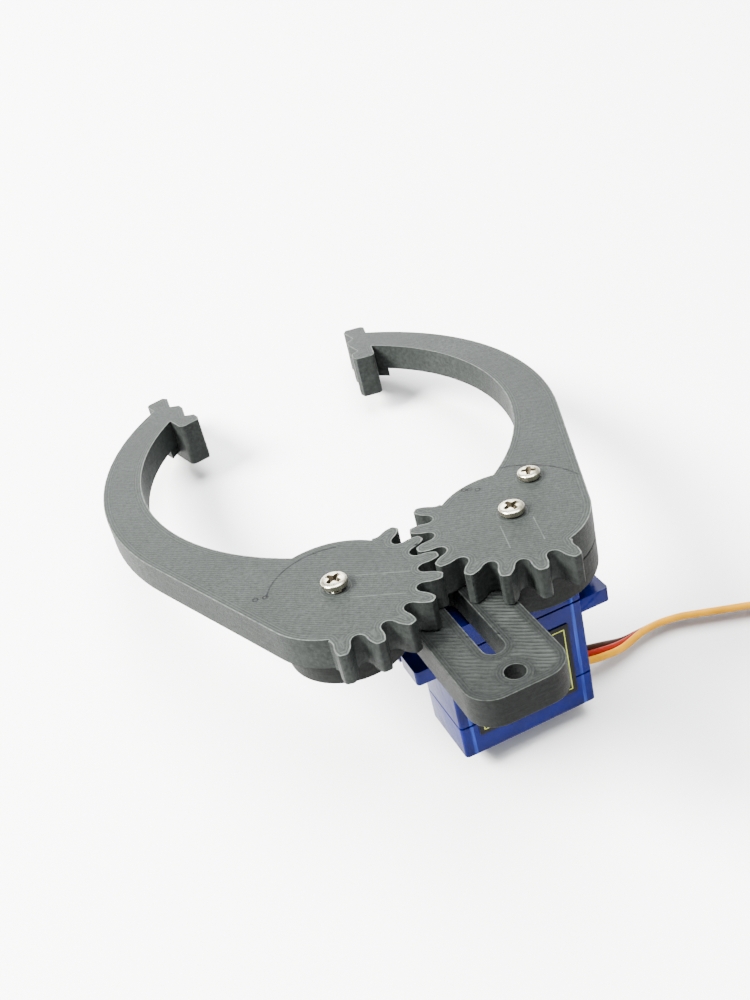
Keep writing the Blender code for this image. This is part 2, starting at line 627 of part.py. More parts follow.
def add_jaws_and_plate(assembly, idler_axis, drive_axis, materials):
    add_base_plate(assembly, materials)
    add_jaw("idler_jaw", IDLER_FIRST_TOOTH, 1, idler_axis,
            IDLER_POCKET_ANGLE, IDLER_POCKET_REACH, materials)
    drive_jaw = add_jaw("drive_jaw", DRIVE_FIRST_TOOTH, -1, drive_axis,
                        HORN_ANGLE, HORN_ARM_REACH, materials)
    screw_x = HORN_SCREW_RADIUS * math.cos(HORN_ANGLE + OPEN_ANGLE)
    screw_y = HORN_SCREW_RADIUS * math.sin(HORN_ANGLE + OPEN_ANGLE)
    arm_screw_hole = circle(ARM_SHANK_RADIUS + GAP, (screw_x, screw_y), 16)
    cut(drive_jaw, prism(arm_screw_hole, -JAW_THICKNESS - GAP, GAP))
    add_horn(drive_axis, materials)
    arm_screw_place = (HORN_SCREW_RADIUS * math.cos(HORN_ANGLE),
                       HORN_SCREW_RADIUS * math.sin(HORN_ANGLE), 0.0)
    add_pan_screw("horn_centre_screw", GAP, CENTRE_SCREW_LENGTH, SCREW_HEAD_RADIUS, SCREW_SHANK_RADIUS,
                  (0.0, 0.0, 0.0), CENTRE_SCREW_TURN, drive_axis, materials)
    add_pan_screw("horn_arm_screw", GAP, ARM_SCREW_LENGTH, ARM_HEAD_RADIUS, ARM_SHANK_RADIUS,
                  arm_screw_place, ARM_SCREW_TURN, drive_axis, materials)
    add_pan_screw("idler_pivot_screw", IDLER_HEAD_LIFT, IDLER_SCREW_LENGTH, SCREW_HEAD_RADIUS,
                  SCREW_SHANK_RADIUS, (-HALF_SPACING, 0.0, 0.0), IDLER_SCREW_TURN, assembly, materials)


# ---------------------------------------------------------------- servo case

def case_outline():
    return rounded_rectangle(-CASE_MOTOR_END, CASE_SHAFT_END,
                             -CASE_HALF_WIDTH, CASE_HALF_WIDTH, CASE_CORNER)


def add_case_top(servo, materials):
    low = EAR_TOP + GAP
    top = add_object("servo_case_top", prism(case_outline(), low, CASE_TOP),
                     materials["servo_blue"], servo, smooth=True)
    join(top, prism(circle(SIDE_BOSS_RADIUS, (SIDE_BOSS_X, 0.0)), CASE_TOP - GAP, BOSS_TOP))
    join(top, prism(circle(BOSS_RADIUS, sides=40), CASE_TOP - GAP, BOSS_TOP))
    cut(top, prism(case_cavity_outline(), low - GAP, CASE_TOP - CASE_WALL))
    cut(top, prism(circle(SHAFT_NECK_RADIUS + GAP), CASE_TOP - 2.0 * CASE_WALL, BOSS_TOP + GAP))
    for place in case_screw_places():
        hole = circle(CASE_SCREW_RADIUS + GAP, place, 12)
        cut(top, prism(hole, low - GAP, CASE_TOP - CASE_SCREW_COVER))
    return top


def add_case_middle(servo, materials):
    """Middle shell with the two mounting ears and the deck that carries the gear train."""
    low = CASE_SEAM + GAP / 2.0
    middle = add_object("servo_case_middle", prism(case_outline(), low, EAR_TOP),
                        materials["servo_blue"], servo, smooth=True)
    ears = rounded_rectangle(-CASE_MOTOR_END - EAR_LENGTH, CASE_SHAFT_END + EAR_LENGTH,
                             -CASE_HALF_WIDTH + EAR_INSET, CASE_HALF_WIDTH - EAR_INSET, CASE_CORNER)
    join(middle, prism(ears, EAR_BOTTOM, EAR_TOP))
    cut(middle, prism(case_cavity_outline(), DECK_TOP, EAR_TOP + GAP))
    cut(middle, prism(case_cavity_outline(), low - GAP, DECK_TOP - DECK_THICKNESS))
    shaft_holes = ((0.0, OUTPUT_SHAFT_RADIUS), (MOTOR_X, MOTOR_SHAFT_RADIUS),
                   (IDLER_PIN_X, IDLER_PIN_RADIUS))
    for x, radius in shaft_holes:
        cut(middle, prism(circle(radius + GAP, (x, 0.0), 16), DECK_TOP - 2.0 * DECK_THICKNESS,
                          DECK_TOP + GAP))
    for x, end in ((-CASE_MOTOR_END - EAR_LENGTH / 2.0, -CASE_MOTOR_END - EAR_LENGTH - GAP),
                   (CASE_SHAFT_END + EAR_LENGTH / 2.0, CASE_SHAFT_END + EAR_LENGTH + GAP)):
        cut(middle, prism(circle(EAR_HOLE_RADIUS, (x, 0.0), 20), EAR_BOTTOM - GAP, EAR_TOP + GAP))
        half = EAR_SLOT_WIDTH / 2.0
        notch = [(min(x, end), -half), (max(x, end), -half), (max(x, end), half), (min(x, end), half)]
        cut(middle, prism(notch, EAR_BOTTOM - GAP, EAR_TOP + GAP))
    for place in case_screw_places():
        cut(middle, prism(circle(CASE_SCREW_RADIUS + GAP, place, 12), low - GAP, EAR_TOP + GAP))
    return middle


def add_case_bottom(servo, materials):
    """Bottom cover: a tray with counterbored screw holes and a slot for the lead."""
    high = CASE_SEAM - GAP / 2.0
    bottom = add_object("servo_case_bottom", prism(case_outline(), CASE_BOTTOM, high),
                        materials["servo_blue"], servo, smooth=True)
    cut(bottom, prism(case_cavity_outline(), CASE_BOTTOM + CASE_WALL, high + GAP))
    half = GROMMET_WIDTH / 2.0 + GAP
    slot = rounded_rectangle(CASE_SHAFT_END - 2.0 * CASE_WALL, CASE_SHAFT_END + CASE_WALL,
                             -half, half, GAP)
    cut(bottom, prism(slot, LEAD_EXIT_Z - GROMMET_HEIGHT / 2.0 - GAP, high + GAP))
    for place in case_screw_places():
        hole = circle(CASE_SCREW_RADIUS + GAP, place, 12)
        counterbore = circle(CASE_SCREW_HEAD_RADIUS + GAP / 2.0, place, 16)
        cut(bottom, prism(hole, CASE_BOTTOM - GAP, high + GAP))
        cut(bottom, prism(counterbore, CASE_BOTTOM - GAP, CASE_BOTTOM + CASE_SCREW_HEAD_HEIGHT + GAP))
    return bottom


def add_case_screws(servo, materials):
    head_low = CASE_BOTTOM + GAP / 2.0
    head_high = head_low + CASE_SCREW_HEAD_HEIGHT
    point = CASE_TOP - CASE_SCREW_COVER - CASE_SCREW_POINT
    profile = [(0.0, point), (CASE_SCREW_RADIUS, point - CASE_SCREW_POINT),
               (CASE_SCREW_RADIUS, head_high), (CASE_SCREW_HEAD_RADIUS, head_high),
               (CASE_SCREW_HEAD_RADIUS, head_low), (0.0, head_low)]
    for number, (x, y) in enumerate(case_screw_places(), start=1):
        add_object(f"case_screw_{number}", turned(profile, 12), materials["screw_steel"],
                   servo, (x, y, 0.0), smooth=True)


def add_label(servo, materials):
    outline = rounded_rectangle(LABEL_LEFT, LABEL_RIGHT, LABEL_BOTTOM, LABEL_TOP, LABEL_CORNER)
    back = CASE_HALF_WIDTH + LABEL_GAP
    bm = prism(outline, back, back + LABEL_THICKNESS)
    bmesh.ops.rotate(bm, verts=bm.verts, matrix=Matrix.Rotation(math.pi / 2.0, 3, "X"))
    add_object("servo_label", bm, materials["label_black"], servo)


def add_grommet(servo, materials):
    """Strain relief block that the ribbon leaves the case through."""
    half_width = GROMMET_WIDTH / 2.0
    half_height = GROMMET_HEIGHT / 2.0
    outline = rounded_rectangle(-half_width, half_width, -half_height, half_height, GROMMET_CORNER)
    bm = prism(outline, 0.0, GROMMET_LENGTH)
    bmesh.ops.rotate(bm, verts=bm.verts, matrix=Matrix.Rotation(math.pi / 2.0, 3, "X"))
    bmesh.ops.rotate(bm, verts=bm.verts, matrix=Matrix.Rotation(math.pi / 2.0, 3, "Z"))
    add_object("lead_grommet", bm, materials["black_plastic"], servo,
               (CASE_SHAFT_END - CASE_WALL, 0.0, LEAD_EXIT_Z), smooth=True)


# ---------------------------------------------------------------- inside the servo

def layer(number):
    """Low and high z of one layer of the gear train, counted from the deck."""
    low = LAYER_BASE + number * LAYER_PITCH
    return low, low + LAYER_THICKNESS


def add_compound_gear(name, teeth, first_layer, x, bore_radius, large_turn, small_turn, servo,
                      materials):
    """Large gear with a small gear on top, on one bore."""
    low, shoulder = layer(first_layer)
    top = layer(first_layer + 1)[1]
    large = gear_outline(TRAIN_MODULE, teeth, TRAIN_BACKLASH, large_turn)
    small = gear_outline(TRAIN_MODULE, SMALL_TEETH, TRAIN_BACKLASH, small_turn)
    gear = add_object(name, prism(large, low, shoulder), materials["nylon_white"], servo,
                      (x, 0.0, 0.0), smooth=True)
    join(gear, prism(small, shoulder - GAP, top))
    cut(gear, prism(circle(bore_radius, sides=16), low - GAP, top + GAP))
    return gear


def mesh_turn(driver_turn, driver_teeth, teeth, towards):
    """Turn of a gear that meshes with a driver lying in the direction towards."""
    driver_phase = (towards + math.pi - driver_turn) / (2.0 * math.pi / driver_teeth)
    return towards + (driver_phase + 0.5) * (2.0 * math.pi / teeth)


def add_gear_train(servo, drive_axis, materials):
    output_turn = 0.0
    small_c_turn = mesh_turn(output_turn, LARGE_TEETH, SMALL_TEETH, 0.0)
    small_b_turn = 0.0
    large_c_turn = mesh_turn(small_b_turn, SMALL_TEETH, LARGE_TEETH, 0.0)
    small_a_turn = mesh_turn(0.0, LARGE_TEETH, SMALL_TEETH, 0.0)
    pinion_turn = mesh_turn(0.0, LARGE_A_TEETH, PINION_TEETH, 0.0)
    add_compound_gear("train_gear_a", LARGE_A_TEETH, 0, IDLER_PIN_X,
                      IDLER_PIN_RADIUS + GAP / 2.0, 0.0, small_a_turn, servo, materials)
    add_compound_gear("train_gear_b", LARGE_TEETH, 1, 0.0,
                      OUTPUT_SHAFT_RADIUS + GAP / 3.0, 0.0, small_b_turn, servo, materials)
    add_compound_gear("train_gear_c", LARGE_TEETH, 2, IDLER_PIN_X,
                      IDLER_PIN_RADIUS + GAP / 2.0, large_c_turn, small_c_turn, servo, materials)
    low, high = layer(0)
    pinion = gear_outline(TRAIN_MODULE, PINION_TEETH, TRAIN_BACKLASH, pinion_turn)
    motor_pinion = add_object("motor_pinion", prism(pinion, low, high), materials["brass"],
                              servo, (MOTOR_X, 0.0, 0.0), smooth=True)
    shaft = circle(MOTOR_SHAFT_RADIUS, sides=12)
    join(motor_pinion, prism(shaft, DECK_TOP - DECK_THICKNESS, low + GAP))
    pin_profile = [(0.0, CASE_TOP - CASE_WALL - GAP), (IDLER_PIN_RADIUS, CASE_TOP - CASE_WALL - GAP),
                   (IDLER_PIN_RADIUS, DECK_TOP - DECK_THICKNESS), (0.0, DECK_TOP - DECK_THICKNESS)]
    add_object("train_pin", turned(pin_profile, 12), materials["screw_steel"], servo,
               (IDLER_PIN_X, 0.0, 0.0), smooth=True)
    add_output_gear(drive_axis, output_turn, materials)


def add_output_gear(drive_axis, turn, materials):
    """Last gear of the train with its shaft, the splined nose and the screw bore."""
    low, high = layer(3)
    wheel = gear_outline(TRAIN_MODULE, LARGE_TEETH, TRAIN_BACKLASH, turn)
    spline = gear_outline(2.0 * SPLINE_RADIUS / (SPLINE_TEETH + 2.0), SPLINE_TEETH, SPLINE_BACKLASH)
    stub_low = pot_top() - POT_STUB_DEPTH
    output = add_object("output_gear", prism(wheel, low, high), materials["nylon_white"],
                        drive_axis, smooth=True)
    join(output, prism(circle(SHAFT_NECK_RADIUS), high - GAP, BOSS_TOP))
    join(output, prism(spline, BOSS_TOP - GAP, SPLINE_TOP))
    join(output, prism(circle(OUTPUT_SHAFT_RADIUS, sides=16), stub_low, low + GAP))
    cut(output, prism(circle(SHAFT_BORE_RADIUS), SPLINE_TOP - SHAFT_BORE_DEPTH, SPLINE_TOP + GAP))
    return output


def pot_top():
    return DECK_TOP - DECK_THICKNESS - GAP


def add_potentiometer(servo, materials):
    top = pot_top()
    profile = [(0.0, top), (POT_RADIUS, top), (POT_RADIUS, top - POT_HEIGHT), (0.0, top - POT_HEIGHT)]
    pot = add_object("potentiometer", turned(profile), materials["black_plastic"], servo,
                     smooth=True)
    cut(pot, prism(circle(OUTPUT_SHAFT_RADIUS + GAP, sides=16), top - POT_SOCKET_DEPTH, top + GAP))
    return pot


def add_motor(servo, materials):
    """Small motor can with two flats, hung under the deck."""
    high = DECK_TOP - DECK_THICKNESS - GAP
    low = high - MOTOR_LENGTH
    half_angle = math.asin(MOTOR_FLAT / MOTOR_RADIUS)
    plan = arc((0.0, 0.0), MOTOR_RADIUS, -half_angle, half_angle, math.radians(12.0))
    plan += arc((0.0, 0.0), MOTOR_RADIUS, math.pi - half_angle, math.pi + half_angle, math.radians(12.0))
    can = add_object("motor_can", prism(plan, low, high), materials["motor_steel"], servo,
                     (MOTOR_X, 0.0, 0.0), smooth=True)
    cut(can, prism(circle(MOTOR_SHAFT_RADIUS + GAP, sides=12), high - MOTOR_SHAFT_SOCKET, high + GAP))
    return can


def add_board(servo, materials):
    low = CASE_BOTTOM + CASE_WALL + GAP
    half = CASE_HALF_WIDTH - CASE_WALL - 2.0 * POST_RADIUS
    outline = [(-CASE_MOTOR_END + CASE_WALL + GAP, -half), (CASE_SHAFT_END - CASE_WALL - GAP, -half),
               (CASE_SHAFT_END - CASE_WALL - GAP, half), (-CASE_MOTOR_END + CASE_WALL + GAP, half)]
    add_object("control_board", prism(outline, low, low + BOARD_THICKNESS), materials["board_green"],
               servo)


def add_servo(assembly, drive_axis, materials):
    servo = add_empty("servo", assembly, (HALF_SPACING, 0.0, 0.0))
    add_case_top(servo, materials)
    add_case_middle(servo, materials)
    add_case_bottom(servo, materials)
    add_case_screws(servo, materials)
    add_label(servo, materials)
    add_grommet(servo, materials)
    add_gear_train(servo, drive_axis, materials)
    add_potentiometer(servo, materials)
    add_motor(servo, materials)
    add_board(servo, materials)


# ---------------------------------------------------------------- servo lead

def smooth_route(points, spacing):
    """Evenly spaced points on a smooth curve through the route's own points."""
    padded = [2.0 * points[0] - points[1]] + points + [2.0 * points[-1] - points[-2]]
    fine = []
    for before, start, end, after in zip(padded, padded[1:], padded[2:], padded[3:]):
        for i in range(ROUTE_STEPS):
            t = i / ROUTE_STEPS
            lean_in = (end - before) / 2.0
            lean_out = (after - start) / 2.0
            fine.append((2 * t ** 3 - 3 * t ** 2 + 1) * start + (t ** 3 - 2 * t ** 2 + t) * lean_in
                        + (3 * t ** 2 - 2 * t ** 3) * end + (t ** 3 - t ** 2) * lean_out)
    fine.append(points[-1])
    length = sum((b - a).length for a, b in zip(fine, fine[1:]))
    count = max(2, round(length / spacing))
    route = [fine[0]]
    travelled = 0.0
    for a, b in zip(fine, fine[1:]):
        step = (b - a).length
        while len(route) < count and travelled + step >= length * len(route) / count:
            share = (length * len(route) / count - travelled) / step
            route.append(a.lerp(b, share))
        travelled += step
    route.append(fine[-1])
    return route


def lead_route():
    """From the case to the coil: out, down to the ground, then along it."""
    exit_point = world_point(HALF_SPACING + CASE_SHAFT_END, 0.0, LEAD_EXIT_Z)
    start = exit_point + Vector((GROMMET_LENGTH - CASE_WALL + GAP, 0.0, 0.0))
    outward, along = coil_directions()
    coil_start = COIL_CENTRE + outward * COIL_REACH + Vector((0.0, 0.0, LEAD_REST))
    return [start,
            start + Vector((0.0040, -0.0003, -0.0008)),
            start + Vector((0.0085, 0.0002, -0.0025)),
            Vector((start.x + 0.0135, start.y + 0.0010, LEAD_REST + 0.0004)),
            Vector((start.x + 0.0185, start.y + 0.0010, LEAD_REST)),
            Vector((start.x + 0.0245, start.y - 0.0006, LEAD_REST)),
            coil_start - along * 0.0120,
            coil_start]


def coil_directions():
    """Unit vectors at the coil's entry: away from its centre, and onwards along the lead."""
    outward = Vector((math.cos(COIL_ENTRY_ANGLE), math.sin(COIL_ENTRY_ANGLE), 0.0))
    return outward, Vector((outward.y, -outward.x, 0.0))


def add_tube(name, points, material):
    curve = bpy.data.curves.new(name, "CURVE")
    curve.dimensions = "3D"
    curve.bevel_depth = LEAD_RADIUS
    curve.bevel_resolution = 2
    curve.use_fill_caps = True
    spline = curve.splines.new("POLY")
    spline.points.add(len(points) - 1)
    for point, place in zip(spline.points, points):
        point.co = (*place, 1.0)
    curve.materials.append(material)
    tube = bpy.data.objects.new(name, curve)
    bpy.context.scene.collection.objects.link(tube)
    return tube


def add_coil(materials):
    """Outer shape of the wound lead: two turns of the ribbon side by side."""
    reach = LEAD_WIDTH
    soft = LEAD_RADIUS * 0.6
    low = GROUND_CLEARANCE
    high = low + LEAD_WIDTH
    profile = [(COIL_RADIUS - reach + soft, low), (COIL_RADIUS + reach - soft, low),
               (COIL_RADIUS + reach, low + soft), (COIL_RADIUS + reach, high - soft),
               (COIL_RADIUS + reach - soft, high), (COIL_RADIUS - reach + soft, high),
               (COIL_RADIUS - reach, high - soft), (COIL_RADIUS - reach, low + soft)]
    add_object("lead_coil", ring(profile), materials["lead_orange"], place=COIL_CENTRE, smooth=True)


def add_plug(materials):
    """Three-way connector at the lead's end, its sockets facing away from the coil."""
    tail_start = COIL_CENTRE + Vector((0.0, -COIL_REACH, LEAD_REST))
    tail = [tail_start, tail_start + Vector((-0.0040, 0.0, 0.0)),
            tail_start + Vector((-0.0085, -0.0006, 0.0))]
    add_tube("lead_tail", smooth_route(tail, 2.5 * LEAD_WIDTH), materials["lead_orange"])
    back = tail[-1] - Vector((GAP, 0.0, 0.0))
    low = GROUND_CLEARANCE - back.z
    outline = rounded_rectangle(-PLUG_LENGTH, 0.0, -PLUG_WIDTH / 2.0, PLUG_WIDTH / 2.0, PLUG_CORNER)
    plug = add_object("lead_plug", prism(outline, low, low + PLUG_THICKNESS),
                      materials["black_plastic"], place=back, smooth=True)
    middle = low + PLUG_THICKNESS / 2.0
    half = PLUG_CELL_SIZE / 2.0
    for i in range(PLUG_CELLS):
        y = (i - (PLUG_CELLS - 1) / 2.0) * PLUG_CELL_PITCH
        cell = [(-PLUG_LENGTH - GAP, y - half), (PLUG_CELL_DEPTH - PLUG_LENGTH, y - half),
                (PLUG_CELL_DEPTH - PLUG_LENGTH, y + half), (-PLUG_LENGTH - GAP, y + half)]
        cut(plug, prism(cell, middle - half, middle + half))


def add_lead(materials):
    add_tube("servo_lead", smooth_route(lead_route(), 2.2 * LEAD_WIDTH), materials["lead_orange"])
    add_coil(materials)
    add_plug(materials)


# ---------------------------------------------------------------- build

def main():
    for obj in list(bpy.data.objects):
        bpy.data.objects.remove(obj, do_unlink=True)
    materials = make_materials()
    assembly, idler_axis, drive_axis = add_assembly()
    add_jaws_and_plate(assembly, idler_axis, drive_axis, materials)
    add_servo(assembly, drive_axis, materials)
    add_lead(materials)


main()
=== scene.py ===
"""Looks of the geared gripper: printed jaws and plate, translucent servo, screws and lead.

Every piece is modelled in the mechanism's own frame, where the jaws' top face is z = 0, +X runs
from the idler jaw's pivot to the driven jaw's and +Y along the fingers.  The frame's two finger
hinges say where that is.  Lengths are in metres, through MM where a figure reads better in
millimetres.
"""

import json
import math

import bmesh
import bpy
import numpy as np
from mathutils import Matrix, Vector, noise


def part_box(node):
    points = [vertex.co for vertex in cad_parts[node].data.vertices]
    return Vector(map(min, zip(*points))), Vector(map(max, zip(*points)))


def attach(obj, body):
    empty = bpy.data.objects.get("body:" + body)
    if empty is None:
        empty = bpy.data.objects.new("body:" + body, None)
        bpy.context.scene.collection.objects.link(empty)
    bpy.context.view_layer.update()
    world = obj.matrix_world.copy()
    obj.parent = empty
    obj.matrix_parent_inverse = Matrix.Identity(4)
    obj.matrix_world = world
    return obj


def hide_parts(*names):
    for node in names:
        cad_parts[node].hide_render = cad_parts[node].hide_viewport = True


MM = 0.001

# Camera, in the mechanism's frame
CAMERA_AZIMUTH = math.radians(-15.93)
CAMERA_ELEVATION = math.radians(31.49)
CAMERA_ROLL = math.radians(-13.78)
CAMERA_DISTANCE = 201.8 * MM
CAMERA_AIM = Vector((4.2, 32.64, -10.0)) * MM
CAMERA_LENS = 57.59
CAMERA_SHIFT = (-0.0032, -0.0011)
SENSOR_WIDTH = 36.0

# Printed plastic
LAYER_HEIGHT = 0.3 * MM
LAYER_GROOVE = 0.045 * MM
WALL_WAVE = 0.03 * MM
PLASTIC_DARK = (0.0092, 0.0107, 0.0099)
PLASTIC_LIGHT = (0.0205, 0.0238, 0.0222)
# Pale grey for random flecks and the ghost lines of the horn pocket, and for painted highlight on top-face
# rims and line crests.
PLASTIC_PALE_MARKS_AND_HIGHLIGHT = (0.070, 0.077, 0.071)
# Painted shade: the plate is drawn as a darker copy of the jaws' grey filament.
PLATE_PAINTED_SHADE = 0.45
PRINT_SPECULAR = 0.05
CREASE_HALF_WIDTH_MM = 0.14
POCKET_START_MM = 2.4
POCKET_LINE_HALF_WIDTH_MM = 0.09
BLOB_RADIUS_MM = 0.36
BLOB_HALF_WIDTH_MM = 0.13
DRIFT_LENGTH = 2.5 * MM
DRIFT_STEP = 7.3
# Near-black: painted shade in the hub crease, and the colour of the nozzle scars.
PLASTIC_CREASE_SHADE_AND_SCAR = (0.003, 0.0035, 0.0035)
HALF_SPACING = 13.95 * MM
JAW_CELL = 0.6 * MM
PERIMETER_PITCH_MM = 0.42
RASTER_PITCH_MM = 0.45
RIDGE_PITCH = 0.70 * MM
RIDGE_CELL = 0.7 * MM
RIDGE_HEIGHT = 0.17 * MM
RIDGE_BORDER = 1.25 * MM
RIDGE_ANGLE = math.radians(-38.0)

# Servo shell and screws
# Places of the painted highlight stripes on the servo case's corner posts.
SERVO_COLUMNS_MM = (-1.1, 18.1)
SERVO_COLUMN_HALF_WIDTH_MM = 0.28
SERVO_SPECULAR = 0.02
SCREW_HEAD_HEIGHT = 1.1 * MM
LARGE_HEAD_RADIUS = 1.8 * MM
LARGE_SHANK_RADIUS = 0.95 * MM
SMALL_SHANK_RADIUS = 0.75 * MM
THREAD_PITCH = 0.45 * MM
RECESS_DEPTH = 0.85 * MM
RECESS_SHARE = 1.34

# Servo lead: a flat ribbon of three wires
WIRE_RADIUS = 0.6 * MM
LEAD_REST = 1.85 * MM
COIL_CENTRE = Vector((72.0, -68.5, 0.0)) * MM
COIL_OUTER_TURN = 20.4 * MM
COIL_INNER_TURN = 15.9 * MM
COIL_REACH = 24.3 * MM
COIL_ENTRY_ANGLE = math.radians(67.0)
COIL_CROSSING_ANGLE = math.radians(-405.0)
COIL_END_ANGLE = math.radians(-450.0)
CROSSING_HEIGHT = 5.1 * MM


# ---------------------------------------------------------------- frame

def hinge(name):
    return next(joint for joint in frame["joints"] if joint["name"] == name)


def mechanism_matrix():
    """Where the mechanism's own frame stands, from the two finger hinges."""
    driven = hinge("driven_finger_hinge")
    idler = hinge("idler_finger_hinge")
    origin = (Vector(driven["pos_m"]) + Vector(idler["pos_m"])) / 2.0
    z_axis = Vector(driven["axis"]).normalized()
    x_axis = (Vector(driven["pos_m"]) - Vector(idler["pos_m"])).normalized()
    turn = Matrix((x_axis, z_axis.cross(x_axis), z_axis)).transposed()
    return Matrix.Translation(origin) @ turn.to_4x4()


def cad_mesh(node):
    """A CAD node's shape in the mechanism's frame, with its flat faces whole again."""
    bm = bmesh.new()
    bm.from_mesh(frame["nodes"][node].data)
    bm.transform(mechanism.inverted())
    bmesh.ops.remove_doubles(bm, verts=bm.verts, dist=0.001 * MM)
    bmesh.ops.dissolve_limit(bm, angle_limit=math.radians(0.4), verts=bm.verts, edges=bm.edges)
    return bm


def add_piece(name, bm, material, body, nodes=(), smooth_angle=35.0, place=None):
    """A visible piece made in the mechanism's frame, riding on a body in place of CAD nodes."""
    mesh = bpy.data.meshes.new(name)
    bm.to_mesh(mesh)
    bm.free()
    mesh.shade_smooth()
    mesh.set_sharp_from_angle(angle=math.radians(smooth_angle))
    mesh.materials.append(material)
    piece = bpy.data.objects.new(name, mesh)
    piece.matrix_world = mechanism if place is None else place
    bpy.context.scene.collection.objects.link(piece)
    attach(piece, body)
    if nodes:
        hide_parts(*nodes)
    return piece


def add_bevel(piece, width):
    bevel = piece.modifiers.new("edges", "BEVEL")
    bevel.width = width
    bevel.segments = 2
    bevel.limit_method = "ANGLE"
    bevel.angle_limit = math.radians(30.0)
    bevel.harden_normals = True


# ---------------------------------------------------------------- shader helpers

class Shader:
    """Short names for building one material's nodes."""

    def __init__(self, name):
        self.material = bpy.data.materials.new(name)
        self.material.use_nodes = True
        self.tree = self.material.node_tree
        self.principled = self.tree.nodes["Principled BSDF"]
        self.output = self.tree.nodes["Material Output"]

    def node(self, kind, **settings):
        node = self.tree.nodes.new(kind)
        for key, value in settings.items():
            setattr(node, key, value)
        return node

    def link(self, source, target):
        self.tree.links.new(source, target)

    def fill(self, socket, value):
        if isinstance(value, bpy.types.NodeSocket):
            self.link(value, socket)
        else:
            socket.default_value = value

    def set(self, **values):
        for key, value in values.items():
            self.fill(self.principled.inputs[key.replace("_", " ")], value)

    def math(self, operation, first, second=0.0):
        node = self.node("ShaderNodeMath", operation=operation)
        self.fill(node.inputs[0], first)
        self.fill(node.inputs[1], second)
        return node.outputs[0]

    def place(self, scale=1.0, turn=(0.0, 0.0, 0.0), move=(0.0, 0.0, 0.0)):
        """Object coordinates, in millimetres times scale, after a turn."""
        coordinates = self.node("ShaderNodeTexCoord")
        mapping = self.node("ShaderNodeMapping", vector_type="POINT")
        scales = (scale,) * 3 if isinstance(scale, float) else scale
        mapping.inputs["Scale"].default_value = [size / MM for size in scales]
        mapping.inputs["Rotation"].default_value = turn
        mapping.inputs["Location"].default_value = move
        self.link(coordinates.outputs["Object"], mapping.inputs["Vector"])
        return mapping.outputs[0]

    def noise(self, vector, scale, detail=3.0, roughness=0.5):
        node = self.node("ShaderNodeTexNoise")
        self.link(vector, node.inputs["Vector"])
        node.inputs["Scale"].default_value = scale
        node.inputs["Detail"].default_value = detail
        node.inputs["Roughness"].default_value = roughness
        return node.outputs["Fac"]

    def attribute(self, name):
        return self.node("ShaderNodeAttribute", attribute_name=name).outputs["Fac"]

    def ramp(self, factor, *stops):
        """Colour ramp; each stop is a position and a grey level or a colour."""
        node = self.node("ShaderNodeValToRGB")
        elements = node.color_ramp.elements
        while len(elements) < len(stops):
            elements.new(0.5)
        for element, (position, colour) in zip(elements, stops):
            element.position = position
            grey = isinstance(colour, (int, float))
            element.color = (colour, colour, colour, 1.0) if grey else (*colour, 1.0)
        self.link(factor, node.inputs[0])
        return node.outputs["Color"]

    def mix(self, factor, first, second, blend="MIX"):
        node = self.node("ShaderNodeMix", data_type="RGBA", blend_type=blend)
        self.fill(node.inputs[0], factor)
        for socket, value in ((node.inputs[6], first), (node.inputs[7], second)):
            self.fill(socket, value if isinstance(value, bpy.types.NodeSocket) else (*value, 1.0))
        return node.outputs[2]

    def bump(self, height, distance, strength=1.0):
        node = self.node("ShaderNodeBump")
        node.inputs["Distance"].default_value = distance
        node.inputs["Strength"].default_value = strength
        self.link(height, node.inputs["Height"])
        return node.outputs["Normal"]


def wave(shader, phase):
    return shader.math("SINE", shader.math("MULTIPLY", phase, 2.0 * math.pi))


# ---------------------------------------------------------------- materials

def hub_axes(shader, pivot_x, turn):
    """Millimetres along and across a direction, measured from a jaw's pivot."""
    offset = (-pivot_x * math.cos(turn) / MM, -pivot_x * math.sin(turn) / MM, 0.0)
    axes = shader.node("ShaderNodeSeparateXYZ")
    shader.link(shader.place(1.0, (0.0, 0.0, turn), offset), axes.inputs[0])
    return axes.outputs[0], axes.outputs[1]


def near(shader, value, target, width):
    """1 where a value lies within a width of a target, else 0."""
    return shader.math("LESS_THAN", shader.math("ABSOLUTE", shader.math("SUBTRACT", value, target)), width)


def hub_crease(shader, pivot_x, radius, heading, spread):
    """Thin arc about the pivot, where the hub's own outlines run into the arm."""
    along, across = hub_axes(shader, pivot_x, -heading)
    square = shader.math("ADD", shader.math("MULTIPLY", along, along),
                         shader.math("MULTIPLY", across, across))
    distance = shader.math("SQRT", square)
    facing = shader.math("GREATER_THAN", shader.math("DIVIDE", along, distance), math.cos(spread))
    return shader.math("MULTIPLY", near(shader, distance, radius, CREASE_HALF_WIDTH_MM), facing)


def pocket_lines(shader, pivot_x, heading, half_width, reach):
    """Two straight lines printed through from the horn pocket underneath."""
    along, across = hub_axes(shader, pivot_x, -heading)
    lines = near(shader, shader.math("ABSOLUTE", across), half_width, POCKET_LINE_HALF_WIDTH_MM)
    middle = (POCKET_START_MM + reach) / 2.0
    within = near(shader, along, middle, (reach - POCKET_START_MM) / 2.0)
    return shader.math("MULTIPLY", lines, within)


def seam_blobs(shader, places):
    """Small scars where the nozzle stopped."""
    total = None
    for x, y in places:
        spot = shader.place(1.0, move=(-x, -y, 0.0))
        axes = shader.node("ShaderNodeSeparateXYZ")
        shader.link(spot, axes.inputs[0])
        square = shader.math("ADD", shader.math("MULTIPLY", axes.outputs[0], axes.outputs[0]),
                             shader.math("MULTIPLY", axes.outputs[1], axes.outputs[1]))
        mark = near(shader, shader.math("SQRT", square), BLOB_RADIUS_MM, BLOB_HALF_WIDTH_MM)
        total = mark if total is None else shader.math("MAXIMUM", total, mark)
    return total


